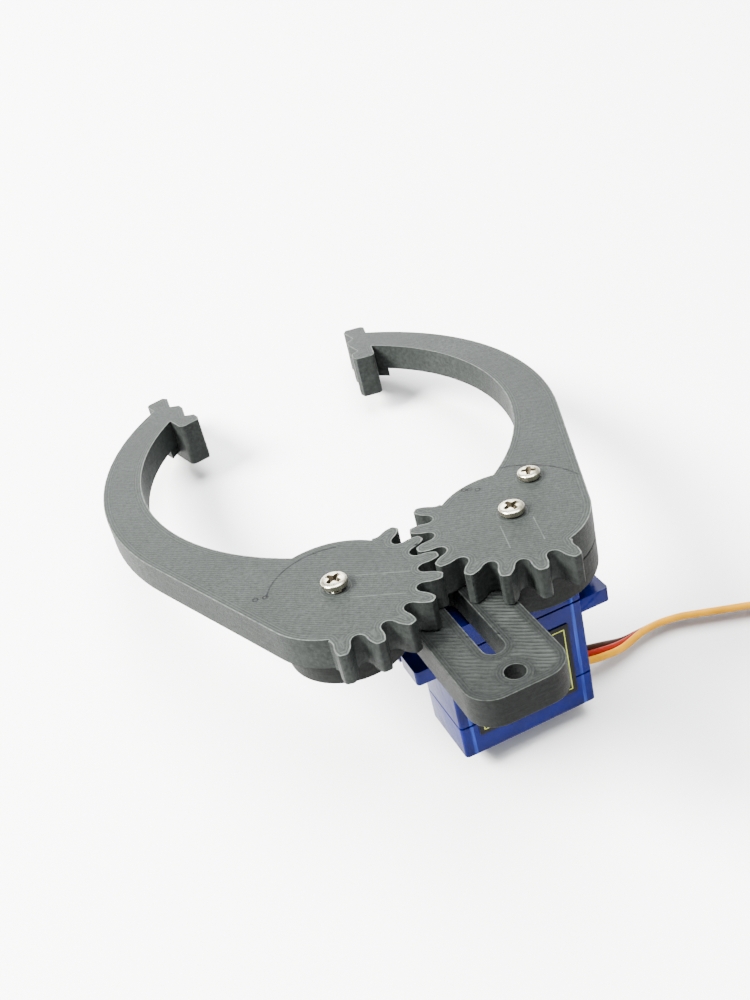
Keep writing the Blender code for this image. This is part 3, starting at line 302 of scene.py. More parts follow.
def printed_material(name, raster_angle, marks=None, shade=1.0):
    """Grey filament: outlines following the part's edge, raster lines inside them."""
    shader = Shader(name)
    millimetres = shader.place()
    edge = shader.attribute("edge_mm")
    flat = shader.attribute("flat")
    wobble = shader.noise(millimetres, 0.6, 2.0)
    outlines = wave(shader, shader.math("DIVIDE", edge, PERIMETER_PITCH_MM))
    axes = shader.node("ShaderNodeSeparateXYZ")
    shader.link(shader.place(1.0, (0.0, 0.0, raster_angle)), axes.inputs[0])
    raster_phase = shader.math("DIVIDE", axes.outputs[1], RASTER_PITCH_MM)
    raster = wave(shader, shader.math("ADD", raster_phase, shader.math("MULTIPLY", wobble, 1.1)))
    inside = shader.math("GREATER_THAN", edge, 3.0 * PERIMETER_PITCH_MM)
    outlines = shader.math("MULTIPLY", outlines, shader.math("SUBTRACT", 1.3, inside))
    pattern = shader.math("ADD", outlines, shader.math("MULTIPLY", raster, inside))
    lines = shader.math("MULTIPLY", pattern, flat)
    grain = shader.noise(millimetres, 5.0, 4.0, 0.65)
    mottle = shader.noise(millimetres, 1.6, 4.0, 0.6)
    smear = shader.noise(shader.place((0.5, 0.5, 3.2)), 1.0, 4.0, 0.6)
    cloud = shader.noise(millimetres, 0.10, 2.0)
    height = shader.math("ADD", shader.math("MULTIPLY", lines, 0.17),
                         shader.math("ADD", grain, shader.math("MULTIPLY", smear, 0.9)))
    colour = shader.mix(shader.ramp(mottle, (0.32, 0.0), (0.68, 1.0)), PLASTIC_DARK, PLASTIC_LIGHT)
    colour = shader.mix(shader.ramp(cloud, (0.3, 0.0), (0.7, 0.45)), colour, PLASTIC_DARK)
    # Painted highlight: a thin paler rim along each top face's outline.
    rim = shader.math("MULTIPLY", shader.math("LESS_THAN", edge, 0.2), flat)
    rim_noise = shader.ramp(shader.noise(millimetres, 1.1, 3.0), (0.35, 0.2), (0.7, 0.9))
    colour = shader.mix(shader.math("MULTIPLY", rim, rim_noise), colour, PLASTIC_PALE_MARKS_AND_HIGHLIGHT)
    colour = shader.mix(shader.ramp(grain, (0.62, 0.0), (0.8, 0.55)), colour, PLASTIC_PALE_MARKS_AND_HIGHLIGHT)
    # Painted highlight: the crests of the outline and raster lines, and of the plate's ridges, are drawn
    # paler.
    ribs = shader.math("MULTIPLY", shader.math("MAXIMUM", lines, 0.0), 0.12)
    crests = shader.math("MULTIPLY", shader.attribute("crest"), 0.75)
    colour = shader.mix(shader.math("MAXIMUM", ribs, crests), colour, PLASTIC_PALE_MARKS_AND_HIGHLIGHT)
    if marks is not None:
        arc, ghost, blobs = (shader.math("MULTIPLY", mark, flat) for mark in marks(shader))
        fade = shader.ramp(shader.noise(millimetres, 0.7, 3.0), (0.3, 0.45), (0.55, 1.0))
        # Painted shade: the crease arc, a carved groove, is drawn near-black; the nozzle scars are drawn
        # dark too.
        colour = shader.mix(shader.math("MULTIPLY", shader.math("MAXIMUM", arc, blobs), fade),
                            colour, PLASTIC_CREASE_SHADE_AND_SCAR)
        ghost = shader.math("MULTIPLY", ghost, shader.math("MULTIPLY", fade, 0.35))
        colour = shader.mix(ghost, colour, PLASTIC_PALE_MARKS_AND_HIGHLIGHT)
        height = shader.math("SUBTRACT", height, shader.math("MULTIPLY", arc, 1.5))
        height = shader.math("ADD", height, shader.math("MULTIPLY", blobs, 3.0))
    # Painted shade: the whole colour is scaled down, which makes the plate a darker copy of the same grey.
    colour = shader.mix(1.0, colour, (shade, shade, shade), "MULTIPLY")
    shader.set(Base_Color=colour, Normal=shader.bump(height, 0.04 * MM),
               Roughness=shader.ramp(grain, (0.3, 0.44), (0.7, 0.60)))
    shader.principled.inputs["Specular IOR Level"].default_value = PRINT_SPECULAR
    return shader.material


def idler_marks(shader):
    return (hub_crease(shader, -HALF_SPACING, 9.9, math.radians(112.0), math.radians(44.0)),
            pocket_lines(shader, -HALF_SPACING, math.radians(-31.5), 2.45, 10.3),
            seam_blobs(shader, ((-24.4, 4.8), (-23.0, 4.4))))


def drive_marks(shader):
    return (hub_crease(shader, HALF_SPACING, 12.7, math.radians(42.0), math.radians(32.0)),
            pocket_lines(shader, HALF_SPACING, math.radians(-104.0), 2.45, 8.4),
            seam_blobs(shader, ((11.9, 9.7), (12.9, 8.9), (11.2, 10.2))))


def servo_material():
    """Dark blue moulding that lets a little light through, with paler stripes at its two corner posts:
    painted highlight.
    """
    shader = Shader("servo_blue_plastic")
    millimetres = shader.place()
    ripple = shader.noise(millimetres, 0.45, 2.0)
    axes = shader.node("ShaderNodeSeparateXYZ")
    shader.link(millimetres, axes.inputs[0])
    left, right = (near(shader, axes.outputs[0], at, SERVO_COLUMN_HALF_WIDTH_MM) for at in SERVO_COLUMNS_MM)
    column_highlight = shader.math("MAXIMUM", left, right)
    streak = shader.ramp(shader.noise(shader.place((2.0, 2.0, 0.12)), 1.0, 2.0), (0.35, 0.2), (0.65, 0.9))
    depth = shader.ramp(shader.noise(millimetres, 0.14, 2.0), (0.3, 0.0), (0.7, 1.0))
    body = shader.mix(depth, (0.0003, 0.0018, 0.042), (0.0005, 0.0040, 0.095))
    # Painted highlight: paler blue stripes at the case's two corner posts.
    colour = shader.mix(shader.math("MULTIPLY", column_highlight, streak), body, (0.020, 0.050, 0.300))
    shader.set(Base_Color=colour, Roughness=0.12, IOR=1.45,
               Transmission_Weight=0.10, Normal=shader.bump(ripple, 0.12 * MM, 0.5))
    shader.principled.inputs["Specular IOR Level"].default_value = SERVO_SPECULAR
    return shader.material


def nickel_material():
    shader = Shader("nickel_plate")
    millimetres = shader.place()
    scratch = shader.noise(shader.place((9.0, 1.2, 3.0), (0.3, 0.2, 0.7)), 1.0, 3.0)
    tarnish = shader.noise(millimetres, 1.3, 3.0)
    colour = shader.mix(shader.ramp(tarnish, (0.35, 0.0), (0.7, 1.0)),
                        (0.36, 0.335, 0.24), (0.52, 0.50, 0.40))
    shader.set(Base_Color=colour, Metallic=1.0, Roughness=shader.ramp(scratch, (0.3, 0.24), (0.8, 0.36)),
               Normal=shader.bump(scratch, 0.004 * MM))
    return shader.material


def moulded_material(name, colour, roughness, grain_scale=6.0, specular=0.07):
    """Plain moulded plastic or soft insulation with a fine grain."""
    shader = Shader(name)
    millimetres = shader.place()
    grain = shader.noise(millimetres, grain_scale, 4.0, 0.6)
    cloud = shader.noise(millimetres, 0.35, 2.0)
    darker = tuple(0.8 * c for c in colour)
    tint = shader.mix(shader.ramp(cloud, (0.3, 0.0), (0.7, 1.0)), darker, colour)
    shader.set(Base_Color=tint, Normal=shader.bump(grain, 0.012 * MM),
               Roughness=shader.ramp(grain, (0.3, roughness - 0.06), (0.7, roughness + 0.08)))
    shader.principled.inputs["Specular IOR Level"].default_value = specular
    return shader.material


def metal_material(name, colour, roughness):
    shader = Shader(name)
    brushed = shader.noise(shader.place((1.0, 1.0, 14.0)), 1.0, 3.0)
    tint = shader.mix(brushed, tuple(0.82 * c for c in colour), colour)
    shader.set(Base_Color=tint, Metallic=1.0, Normal=shader.bump(brushed, 0.008 * MM),
               Roughness=shader.ramp(brushed, (0.3, roughness - 0.06), (0.8, roughness + 0.1)))
    return shader.material


def floor_material():
    shader = Shader("backdrop_paper")
    broad = shader.place(0.02)
    fibre = shader.noise(shader.place(), 2.0, 4.0, 0.6)
    tone = shader.noise(broad, 1.0, 2.0)
    colour = shader.mix(tone, (0.80, 0.80, 0.785), (0.83, 0.83, 0.82))
    shader.set(Base_Color=colour, Roughness=0.75, Normal=shader.bump(fibre, 0.01 * MM))
    return shader.material


# ---------------------------------------------------------------- printed pieces

def cut_evenly(bm, direction, spacing):
    """Cuts a mesh by planes at even spacing along a direction."""
    normal = Vector(direction)
    reaches = [v.co.dot(normal) for v in bm.verts]
    low = min(reaches)
    count = math.floor((max(reaches) - low) / spacing)
    for i in range(1, count + 1):
        place = normal * (low + i * spacing)
        everything = list(bm.verts) + list(bm.edges) + list(bm.faces)
        bmesh.ops.bisect_plane(bm, geom=everything, dist=0.002 * MM, plane_co=place, plane_no=normal)


def distance_to_edges(points, starts, ends):
    """Least distance from each point to a set of plane segments."""
    best = np.full(len(points), np.inf)
    for start, end in zip(starts, ends):
        run = end - start
        length_squared = max(float(run @ run), 1e-18)
        share = np.clip(((points - start) @ run) / length_squared, 0.0, 1.0)
        best = np.minimum(best, np.linalg.norm(points - start - share[:, None] * run, axis=1))
    return best


def is_level(face):
    return abs(face.normal.z) > 0.7


def mark_outline_distance(bm):
    """Stores how far each corner of the level faces lies from that face's own outline."""
    edge_layer = bm.verts.layers.float.new("edge_mm")
    flat_layer = bm.faces.layers.float.new("flat")
    levels = {}
    for face in bm.faces:
        if is_level(face):
            face[flat_layer] = 1.0
            levels.setdefault(round(face.calc_center_median().z / (0.05 * MM)), []).append(face)
    for faces in levels.values():
        members = set(faces)
        rim = [edge for edge in {e for f in faces for e in f.edges}
               if sum(f in members for f in edge.link_faces) == 1]
        corners = sorted({v for f in faces for v in f.verts}, key=lambda v: v.index)
        points = np.array([v.co[:2] for v in corners])
        starts = np.array([e.verts[0].co[:2] for e in rim])
        ends = np.array([e.verts[1].co[:2] for e in rim])
        for vert, distance in zip(corners, distance_to_edges(points, starts, ends)):
            vert[edge_layer] = distance / MM
    return edge_layer


def wall_normals(bm):
    """Level outward direction at each corner that touches a wall."""
    found = {}
    for vert in bm.verts:
        total = Vector((0.0, 0.0, 0.0))
        for face in vert.link_faces:
            if not is_level(face):
                total += Vector((face.normal.x, face.normal.y, 0.0)).normalized()
        if total.length > 0.1:
            found[vert] = total.normalized()
    return found


def lay_down_layers(bm, base):
    """Sets the walls in between layers, and lets each layer wander a little."""
    for vert, outward in wall_normals(bm).items():
        layer = (vert.co.z - base) / LAYER_HEIGHT
        groove = 0.5 + 0.5 * math.cos(2.0 * math.pi * layer)
        at = Vector((vert.co.x, vert.co.y, 0.0)) / DRIFT_LENGTH
        drift = noise.noise(at + Vector((0.0, 0.0, DRIFT_STEP * round(layer))))
        vert.co -= outward * (LAYER_GROOVE * groove + WALL_WAVE * (0.5 + 0.5 * drift))


def print_piece(node, body, material, ridged=False):
    """A printed node again, cut finely enough for its layers and, when ridged, for its top skin."""
    bm = cad_mesh(node)
    base = min(v.co.z for v in bm.verts)
    top = max(v.co.z for v in bm.verts)
    along = Vector((math.cos(RIDGE_ANGLE), math.sin(RIDGE_ANGLE), 0.0))
    across = Vector((-along.y, along.x, 0.0))
    if ridged:
        cut_evenly(bm, across, RIDGE_PITCH / 5.0)
        cut_evenly(bm, along, RIDGE_CELL)
    else:
        cut_evenly(bm, (1.0, 0.0, 0.0), JAW_CELL)
        cut_evenly(bm, (0.0, 1.0, 0.0), JAW_CELL)
    bm.verts.index_update()
    edge_layer = mark_outline_distance(bm)
    cut_evenly(bm, (0.0, 0.0, 1.0), LAYER_HEIGHT / 2.0)
    bm.normal_update()
    lay_down_layers(bm, base)
    if ridged:
        raise_ridges(bm, edge_layer, top, across)
    return add_piece(node + "_print", bm, material, body, [node], 32.0)


def raise_ridges(bm, edge_layer, top, across):
    """Coarse extrusion ridges on the top skin, inside a smooth border."""
    # The crest value also carries a painted highlight: the shader draws the ridges' crests paler with it.
    crest_layer = bm.verts.layers.float.new("crest")
    for vert in bm.verts:
        distance = vert[edge_layer] * MM
        if abs(vert.co.z - top) > 0.02 * MM or distance < RIDGE_BORDER:
            continue
        wander = noise.noise(vert.co / (1.6 * MM)) * 0.30 + noise.noise(vert.co / (0.5 * MM)) * 0.10
        phase = vert.co.dot(across) / RIDGE_PITCH + wander
        strength = 0.70 + 0.45 * noise.noise(vert.co / (2.2 * MM) + Vector((9.0, 0.0, 0.0)))
        strength *= 0.55 + 0.45 * min(1.0, max(0.0, vert.co.x / (3.0 * MM) + 0.5))
        fade = min(1.0, (distance - RIDGE_BORDER) / (0.25 * MM))
        crest = 0.5 + 0.5 * math.cos(2.0 * math.pi * phase)
        vert[crest_layer] = fade * max(0.0, strength * crest)
        vert.co.z -= fade * RIDGE_HEIGHT * strength * (1.0 - crest)


def add_printed_pieces():
    # The plate's grey is a darker copy of the jaws' grey: painted shade.
    plate = printed_material("printed_plate", math.radians(45.0), shade=PLATE_PAINTED_SHADE)
    print_piece("idler_jaw", "idler_finger",
                printed_material("printed_idler_jaw", math.radians(40.0), idler_marks))
    print_piece("drive_jaw", "driven_finger",
                printed_material("printed_drive_jaw", math.radians(50.0), drive_marks))
    print_piece("base_plate", "base", plate, ridged=True)


# ---------------------------------------------------------------- screws

def lathe(profile, sides=48):
    """Closed shape of (radius, z) points turned about Z."""
    bm = bmesh.new()
    rings = []
    for radius, z in profile:
        if radius == 0.0:
            rings.append([bm.verts.new((0.0, 0.0, z))])
            continue
        angles = [2.0 * math.pi * i / sides for i in range(sides)]
        rings.append([bm.verts.new((radius * math.cos(a), radius * math.sin(a), z)) for a in angles])
    for upper, lower in zip(rings, rings[1:]):
        for i in range(sides):
            after = (i + 1) % sides
            corners = [upper[i % len(upper)], lower[i % len(lower)],
                       lower[after % len(lower)], upper[after % len(upper)]]
            unique = list(dict.fromkeys(corners))
            if len(unique) > 2:
                bm.faces.new(unique)
    bmesh.ops.recalc_face_normals(bm, faces=bm.faces)
    return bm


def cross_cutter(top, size, depth):
    """Tapered four-armed recess of a cross-head driver."""
    bm = bmesh.new()
    rings = []
    for z, length, width in ((top + 0.2 * MM, size * 1.08, size * 0.30),
                             (top - depth * 0.45, size * 0.86, size * 0.20),
                             (top - depth, size * 0.40, size * 0.16)):
        half, arm = width / 2.0, length / 2.0
        ring = []
        for quarter in range(4):
            turn = Matrix.Rotation(quarter * math.pi / 2.0, 3, "Z")
            for x, y in ((half * 1.25, half * 1.25), (half, arm), (-half, arm)):
                ring.append(bm.verts.new(turn @ Vector((x, y, z))))
        rings.append(ring)
    for upper, lower in zip(rings, rings[1:]):
        for i in range(len(upper)):
            after = (i + 1) % len(upper)
            bm.faces.new((upper[i], lower[i], lower[after], upper[after]))
    bm.faces.new(rings[0])
    bm.faces.new(rings[-1][::-1])
    bmesh.ops.recalc_face_normals(bm, faces=bm.faces)
    # The recess faces take the second material, dark metal: painted shade and tarnish in the cross recess.
    for face in bm.faces:
        face.material_index = 1
    return bm


def cut_with(piece, cutter_mesh):
    """Cuts a shape out of a piece for good."""
    mesh = bpy.data.meshes.new("cutter")
    cutter_mesh.to_mesh(mesh)
    cutter_mesh.free()
    cutter = bpy.data.objects.new("cutter", mesh)
    cutter.matrix_world = piece.matrix_world
    bpy.context.scene.collection.objects.link(cutter)
    modifier = piece.modifiers.new("cut", "BOOLEAN")
    modifier.object = cutter
    bpy.context.view_layer.update()
    evaluated = piece.evaluated_get(bpy.context.evaluated_depsgraph_get())
    result = bpy.data.meshes.new_from_object(evaluated)
    piece.modifiers.remove(modifier)
    piece.data = result
    result.shade_smooth()
    result.set_sharp_from_angle(angle=math.radians(32.0))
    bpy.data.objects.remove(cutter)


def add_pan_screw(node, body, material, recess_shade_and_tarnish, recess_turn):
    """Pan-head screw with threads on its shank, in the place of its CAD node."""
    bm = cad_mesh(node)
    points = [v.co.copy() for v in bm.verts]
    bm.free()
    top, bottom = max(p.z for p in points), min(p.z for p in points)
    centre_x = (max(p.x for p in points) + min(p.x for p in points)) / 2.0
    centre_y = (max(p.y for p in points) + min(p.y for p in points)) / 2.0
    radius = (max(p.x for p in points) - min(p.x for p in points)) / 2.0
    seat = top - SCREW_HEAD_HEIGHT
    shank = LARGE_SHANK_RADIUS if radius > LARGE_HEAD_RADIUS else SMALL_SHANK_RADIUS
    profile = [(0.0, top)]
    for i in range(1, 9):
        angle = math.radians(11.0 * i)
        profile.append((radius * math.sin(angle), top - 0.34 * MM * (1.0 - math.cos(angle))))
    profile += [(radius, top - 0.5 * MM), (radius, seat + 0.12 * MM), (radius - 0.1 * MM, seat)]
    profile.append((shank * 0.86, seat))
    thread = seat - 0.35 * MM
    while thread > bottom + 0.7 * MM:
        profile += [(shank * 0.86, thread), (shank, thread - 0.16 * MM), (shank * 0.86, thread - 0.32 * MM)]
        thread -= THREAD_PITCH
    profile += [(shank * 0.8, bottom + 0.35 * MM), (0.0, bottom)]
    place = mechanism @ Matrix.Translation((centre_x, centre_y, 0.0))
    screw = add_piece(node + "_plated", lathe(profile), material, body, [node], place=place)
    screw.data.materials.append(recess_shade_and_tarnish)
    cutter = cross_cutter(top - 0.02 * MM, RECESS_SHARE * radius, RECESS_DEPTH)
    bmesh.ops.rotate(cutter, verts=cutter.verts, matrix=Matrix.Rotation(recess_turn, 3, "Z"))
    cut_with(screw, cutter)


def add_screws():
    nickel = nickel_material()
    # Dark metal for the cross recesses: painted shade and tarnish.
    recess_shade_and_tarnish = metal_material("recess_painted_shade_and_tarnish", (0.085, 0.070, 0.045), 0.5)
    add_pan_screw("idler_pivot_screw", "base", nickel, recess_shade_and_tarnish, math.radians(28.0))
    add_pan_screw("horn_centre_screw", "driven_finger", nickel, recess_shade_and_tarnish, math.radians(12.0))
    add_pan_screw("horn_arm_screw", "driven_finger", nickel, recess_shade_and_tarnish, math.radians(60.0))
    for number in range(1, 5):
        node = frame["nodes"][f"case_screw_{number}"]
        node.data.materials.clear()
        node.data.materials.append(nickel)


# ---------------------------------------------------------------- servo

def soften(node, body, material, width):
    """A CAD node's shape again with rounded edges."""
    piece = add_piece(node + "_moulded", cad_mesh(node), material, body, [node], 30.0)
    add_bevel(piece, width)


def add_servo():
    blue = servo_material()
    for node in ("servo_case_top", "servo_case_middle", "servo_case_bottom"):
        soften(node, "base", blue, 0.18 * MM)
    nylon = moulded_material("gear_nylon", (0.78, 0.78, 0.73), 0.42)
    soften("servo_horn", "driven_finger", nylon, 0.12 * MM)
    black = moulded_material("black_moulding", (0.022, 0.022, 0.024), 0.48)
    soften("lead_grommet", "base", black, 0.15 * MM)
    keep = {"train_gear_a": nylon, "train_gear_b": nylon, "train_gear_c": nylon, "output_gear": nylon,
            "motor_pinion": metal_material("pinion_brass", (0.74, 0.55, 0.25), 0.32),
            "train_pin": metal_material("ground_pin", (0.62, 0.62, 0.63), 0.25),
            "motor_can": metal_material("motor_can_steel", (0.60, 0.60, 0.61), 0.33),
            "potentiometer": black,
            "control_board": moulded_material("solder_mask", (0.02, 0.16, 0.06), 0.4)}
    for node, material in keep.items():
        mesh = frame["nodes"][node].data
        mesh.materials.clear()
        mesh.materials.append(material)
    add_label()


def add_label():
    """Black film with a thin generic border of rules."""
    film = moulded_material("label_film", (0.006, 0.006, 0.007), 0.5, 3.0, 0.05)
    ink = moulded_material("label_rules", (0.34, 0.38, 0.06), 0.5, 3.0, 0.05)
    label = add_piece("servo_label_film", cad_mesh("servo_label"), film, "base",
                      ["servo_label"])
    points = [v.co for v in label.data.vertices]
    left, right = min(p.x for p in points), max(p.x for p in points)
    low, high = min(p.z for p in points), max(p.z for p in points)
    face = min(p.y for p in points)
    inset = 0.75 * MM
    rule = 0.17 * MM
    left, right, low, high = left + inset, right - inset, low + inset, high - inset
    upper = low + 0.63 * (high - low)
    lower = low + 0.20 * (high - low)
    inner = 0.55 * MM
    bars = [(left, right, high - rule, high), (left, right, low, low + rule),
            (left, left + rule, low, high), (right - rule, right, low, high),
            (left + inner, right - inner, upper - rule, upper),
            (left + inner, right - inner, lower, lower + rule),
            (left + inner, left + inner + rule, lower, upper),
            (right - inner - rule, right - inner, lower, upper)]
    bm = bmesh.new()
    for x_low, x_high, z_low, z_high in bars:
        centre = Vector(((x_low + x_high) / 2.0, face, (z_low + z_high) / 2.0))
        size = Matrix.Diagonal((x_high - x_low, 0.02 * MM, z_high - z_low, 1.0))
        bmesh.ops.create_cube(bm, size=1.0, matrix=Matrix.Translation(centre) @ size)
    add_piece("servo_label_rules", bm, ink, "base")


# ---------------------------------------------------------------- lead

def lead_start():
    """Middle of the strain relief's outer face, where the ribbon comes out."""
    low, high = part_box("lead_grommet")
    return Vector((high.x + 0.3 * MM, (low.y + high.y) / 2.0, (low.z + high.z) / 2.0))


def coil_point(angle, radius, height):
    return COIL_CENTRE + Vector((radius * math.cos(angle), radius * math.sin(angle), height))


def lead_route():
    """Way to the coil through listed points, the coil's turns, and the way out over them to the plug."""
    start = lead_start()
    outward = Vector((math.cos(COIL_ENTRY_ANGLE), math.sin(COIL_ENTRY_ANGLE), 0.0))
    along = Vector((outward.y, -outward.x, 0.0))
    entry = COIL_CENTRE + outward * COIL_REACH + Vector((0.0, 0.0, LEAD_REST))
    route = [start,
             start + Vector((4.0, -0.3, -0.8)) * MM,
             start + Vector((8.5, 0.2, -2.5)) * MM,
             Vector((start.x + 13.5 * MM, start.y + 1.0 * MM, LEAD_REST + 0.4 * MM)),
             Vector((start.x + 18.5 * MM, start.y + 1.0 * MM, LEAD_REST)),
             Vector((start.x + 24.5 * MM, start.y - 0.6 * MM, LEAD_REST)),
             entry - along * 12.0 * MM,
             entry]
    settle = COIL_ENTRY_ANGLE - math.radians(40.0)
    steps = 40
    for i in range(1, steps + 1):
        angle = COIL_ENTRY_ANGLE + (COIL_CROSSING_ANGLE - COIL_ENTRY_ANGLE) * i / steps
        if angle > settle:
            share = (COIL_ENTRY_ANGLE - angle) / (COIL_ENTRY_ANGLE - settle)
            radius = COIL_REACH + (COIL_OUTER_TURN - COIL_REACH) * share
        else:
            share = (settle - angle) / (settle - COIL_CROSSING_ANGLE)
            radius = COIL_OUTER_TURN + (COIL_INNER_TURN - COIL_OUTER_TURN) * share
        route.append(coil_point(angle, radius, LEAD_REST))
    plug_low, plug_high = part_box("lead_plug")
    plug_back = Vector((plug_high.x + 0.1 * MM, (plug_low.y + plug_high.y) / 2.0,
                        (plug_low.z + plug_high.z) / 2.0))
    route += [coil_point(COIL_CROSSING_ANGLE - math.radians(20.0), 17.2 * MM, CROSSING_HEIGHT),
              coil_point(COIL_CROSSING_ANGLE - math.radians(36.0), 20.6 * MM, CROSSING_HEIGHT),
              coil_point(COIL_END_ANGLE - math.radians(4.0), 24.0 * MM, 2.6 * MM),
              plug_back + Vector((2.5, 0.1, 0.1)) * MM,
              plug_back]
    return route


def smooth_line(points, spacing):
    """Evenly spaced points on a smooth curve through the route's own points."""
    padded = [2.0 * points[0] - points[1]] + points + [2.0 * points[-1] - points[-2]]
    fine = []
    for before, start, end, after in zip(padded, padded[1:], padded[2:], padded[3:]):
        lean_in, lean_out = (end - before) / 2.0, (after - start) / 2.0
        for i in range(16):
            t = i / 16.0
            fine.append((2 * t ** 3 - 3 * t ** 2 + 1) * start + (t ** 3 - 2 * t ** 2 + t) * lean_in
                        + (3 * t ** 2 - 2 * t ** 3) * end + (t ** 3 - t ** 2) * lean_out)
    fine.append(points[-1])
    places = np.array(fine)
    along = np.concatenate([[0.0], np.cumsum(np.linalg.norm(np.diff(places, axis=0), axis=1))])
    at = np.linspace(0.0, along[-1], math.ceil(along[-1] / spacing) + 1)
    return [Vector([np.interp(s, along, places[:, k]) for k in range(3)]) for s in at], along[-1]


def ribbon_side(distance):
    """Direction from the brown wire to the orange one: flat at both ends, on edge between."""
    flat_start = Vector((0.0, -1.0, 0.0))
    on_edge = Vector((-0.35, -0.42, 0.84)).normalized()
    upright = Vector((0.0, -0.12, 1.0)).normalized()
    out = min(1.0, distance / (15.0 * MM))
    settle = min(1.0, max(0.0, (distance - 40.0 * MM) / (20.0 * MM)))
    side = flat_start.slerp(on_edge, out * out * (3.0 - 2.0 * out))
    return side.slerp(upright, settle)


def add_lead():
    line, length = smooth_line(lead_route(), 0.9 * MM)
    sides = 12
    colours = [moulded_material("wire_brown", (0.030, 0.010, 0.005), 0.42, 5.0),
               moulded_material("wire_red", (0.22, 0.010, 0.003), 0.42, 5.0),
               moulded_material("wire_orange", (0.50, 0.225, 0.0), 0.42, 5.0)]
    bm = bmesh.new()
    for wire in range(3):
        previous = None
        for i, place in enumerate(line):
            ahead = line[min(i + 1, len(line) - 1)] - line[max(i - 1, 0)]
            ahead.normalize()
            distance = length * i / (len(line) - 1)
            side = ribbon_side(distance)
            flat_end = Vector((-ahead.y, ahead.x, 0.0)).normalized()
            level = min(1.0, max(0.0, (distance - length + 44.0 * MM) / (16.0 * MM)))
            if level > 0.0:
                side = side.slerp(flat_end, level * level * (3.0 - 2.0 * level))
            side = (side - ahead * side.dot(ahead)).normalized()
            lift = ahead.cross(side)
            centre = place + side * (wire - 1) * WIRE_RADIUS * 1.94
            ring = []
            for k in range(sides):
                angle = 2.0 * math.pi * k / sides
                offset = side * math.cos(angle) + lift * math.sin(angle)
                ring.append(bm.verts.new(centre + offset * WIRE_RADIUS))
            if previous is None:
                bm.faces.new(ring[::-1]).material_index = wire
            else:
                for k in range(sides):
                    after = (k + 1) % sides
                    quad = (previous[k], previous[after], ring[after], ring[k])
                    bm.faces.new(quad).material_index = wire
            previous = ring
        bm.faces.new(previous).material_index = wire
    ribbon = add_piece("servo_lead_ribbon", bm, colours[0], "base",
                       ["servo_lead", "lead_coil", "lead_tail"], 60.0, Matrix.Identity(4))
    for material in colours[1:]:
        ribbon.data.materials.append(material)
    plug = add_plug()
    tie = add_tie()


def add_plug():
    """Black three-way housing with its latch windows."""
    black = moulded_material("plug_black", (0.02, 0.02, 0.022), 0.45)
    bm = bmesh.new()
    bm.from_mesh(frame["nodes"]["lead_plug"].data)
    bmesh.ops.remove_doubles(bm, verts=bm.verts, dist=0.001 * MM)
    bmesh.ops.dissolve_limit(bm, angle_limit=math.radians(0.4), verts=bm.verts, edges=bm.edges)
    plug = add_piece("servo_lead_plug", bm, black, "base", ["lead_plug"], 30.0,
                     Matrix.Identity(4))
    low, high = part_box("lead_plug")
    middle = (low.y + high.y) / 2.0
    for i in (-1, 0, 1):
        window = bmesh.new()
        centre = Vector((low.x + 6.5 * MM, middle + 2.54 * MM * i, high.z))
        size = Matrix.Diagonal((2.2 * MM, 1.2 * MM, 0.7 * MM, 1.0))
        bmesh.ops.create_cube(window, size=1.0, matrix=Matrix.Translation(centre) @ size)
        cut_with(plug, window)
    add_bevel(plug, 0.12 * MM)
    return plug


def add_tie():
    """Soft wire tie round the coil's turns."""
    material = moulded_material("tie_black", (0.02, 0.02, 0.02), 0.5)
    angle = math.radians(-20.0)
    middle = coil_point(angle, (COIL_OUTER_TURN + COIL_INNER_TURN) / 2.0, LEAD_REST)
    radial = Vector((math.cos(angle), math.sin(angle), 0.0))
    along = Vector((-radial.y, radial.x, 0.0))
    half_wide, half_high = 3.9 * MM, 1.75 * MM
    bm = bmesh.new()
    loops = []
    for grow, shift in ((0.0, -0.7), (0.0, 0.7), (0.28, 0.7), (0.28, -0.7)):
        loop = []
        for k in range(32):
            turn = 2.0 * math.pi * k / 32
            x = (half_wide + grow * MM) * math.copysign(abs(math.cos(turn)) ** 0.5, math.cos(turn))
            z = half_high * math.copysign(abs(math.sin(turn)) ** 0.5, math.sin(turn))
            z += grow * MM * math.sin(turn) if z > 0.0 else 0.0
            loop.append(bm.verts.new(middle + radial * x + along * shift * MM + Vector((0.0, 0.0, z))))
        loops.append(loop)
    for i, loop in enumerate(loops):
        beyond = loops[(i + 1) % 4]
        for k in range(32):
            after = (k + 1) % 32
            bm.faces.new((loop[k], loop[after], beyond[after], beyond[k]))
    bmesh.ops.recalc_face_normals(bm, faces=bm.faces)
    return add_piece("servo_lead_tie", bm, material, "base", (), 40.0, Matrix.Identity(4))


# ---------------------------------------------------------------- camera, floor and light

def add_camera():
    """Camera looking down on the gripper from the servo's side of the pivots."""
    back = Vector((math.sin(CAMERA_AZIMUTH) * math.cos(CAMERA_ELEVATION),
                   -math.cos(CAMERA_AZIMUTH) * math.cos(CAMERA_ELEVATION),
                   math.sin(CAMERA_ELEVATION)))
    right = Vector((math.cos(CAMERA_AZIMUTH), math.sin(CAMERA_AZIMUTH), 0.0))
    turn = Matrix((right, back.cross(right), back)).transposed()
    turn = turn @ Matrix.Rotation(CAMERA_ROLL, 3, "Z")
    data = bpy.data.cameras.new("camera")
    data.sensor_fit = "HORIZONTAL"
    data.sensor_width = SENSOR_WIDTH
    data.lens = CAMERA_LENS
    data.shift_x, data.shift_y = CAMERA_SHIFT
    data.clip_start = 0.01
    data.clip_end = 20.0
    camera = bpy.data.objects.new("camera", data)
    place = Matrix.Translation(CAMERA_AIM + back * CAMERA_DISTANCE) @ turn.to_4x4()
    camera.matrix_world = mechanism @ place
    bpy.context.scene.collection.objects.link(camera)
    bpy.context.scene.camera = camera


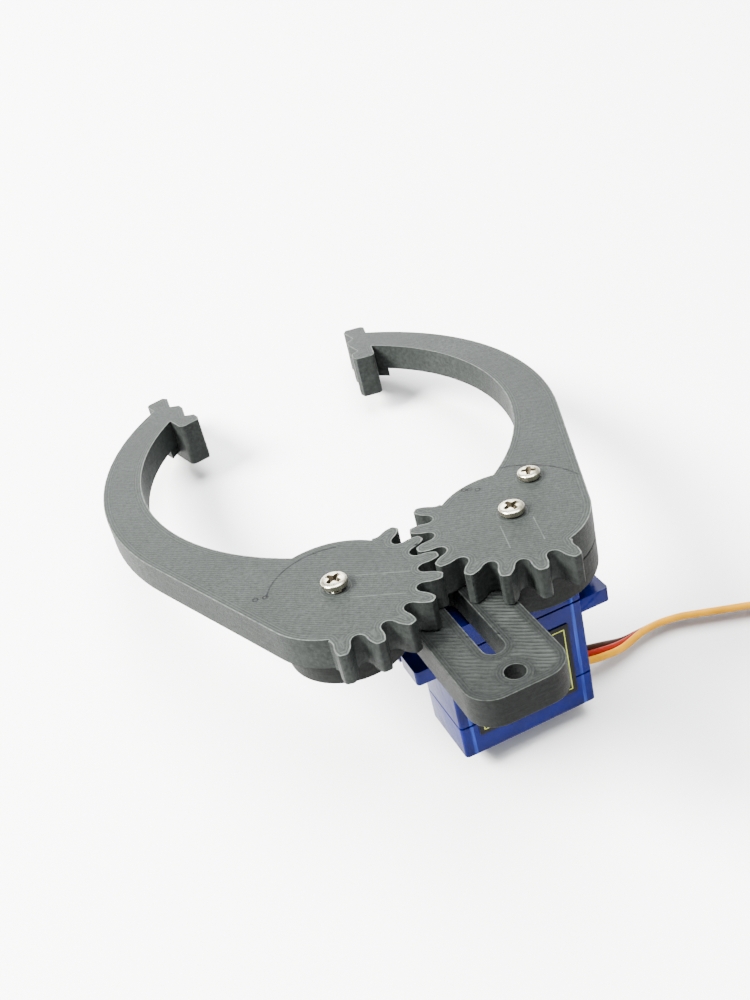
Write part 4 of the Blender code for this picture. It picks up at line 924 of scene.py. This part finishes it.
def add_floor():
    bm = bmesh.new()
    bmesh.ops.create_grid(bm, x_segments=2, y_segments=2, size=3.0)
    mesh = bpy.data.meshes.new("floor")
    bm.to_mesh(mesh)
    bm.free()
    mesh.materials.append(floor_material())
    floor = bpy.data.objects.new("floor", mesh)
    bpy.context.scene.collection.objects.link(floor)


def add_area_light(name, place, aim, size, power, colour):
    data = bpy.data.lights.new(name, "AREA")
    data.shape = "DISK"
    data.size = size
    data.energy = power
    data.color = colour
    light = bpy.data.objects.new(name, data)
    light.location = place
    light.rotation_euler = (Vector(aim) - Vector(place)).to_track_quat("-Z", "Y").to_euler()
    bpy.context.scene.collection.objects.link(light)


def add_lights():
    aim = (0.0, 0.0, 0.01)
    add_area_light("key", (-0.66, 0.24, 0.66), aim, 0.42, 88.0, (1.0, 0.99, 0.97))
    add_area_light("overhead", (0.10, 0.25, 1.20), aim, 1.00, 62.0, (0.97, 0.985, 1.0))
    add_area_light("back", (0.25, 1.00, 0.36), aim, 0.60, 14.0, (1.0, 1.0, 1.0))
    world = bpy.data.worlds.new("studio")
    world.use_nodes = True
    background = world.node_tree.nodes["Background"]
    background.inputs["Color"].default_value = (0.96, 0.98, 1.0, 1.0)
    background.inputs["Strength"].default_value = 0.85
    bpy.context.scene.world = world


# ---------------------------------------------------------------- making

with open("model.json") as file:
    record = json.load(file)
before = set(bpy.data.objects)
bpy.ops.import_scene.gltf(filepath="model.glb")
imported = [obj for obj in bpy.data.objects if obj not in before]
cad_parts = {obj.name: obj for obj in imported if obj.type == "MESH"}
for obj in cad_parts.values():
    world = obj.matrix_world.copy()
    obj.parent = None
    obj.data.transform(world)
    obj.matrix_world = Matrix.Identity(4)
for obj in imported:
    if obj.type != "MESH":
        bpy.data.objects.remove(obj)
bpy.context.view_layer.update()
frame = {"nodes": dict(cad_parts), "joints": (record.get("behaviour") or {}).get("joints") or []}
mechanism = mechanism_matrix()
add_camera()
add_lead()
add_printed_pieces()
add_screws()
add_servo()
add_floor()
add_lights()
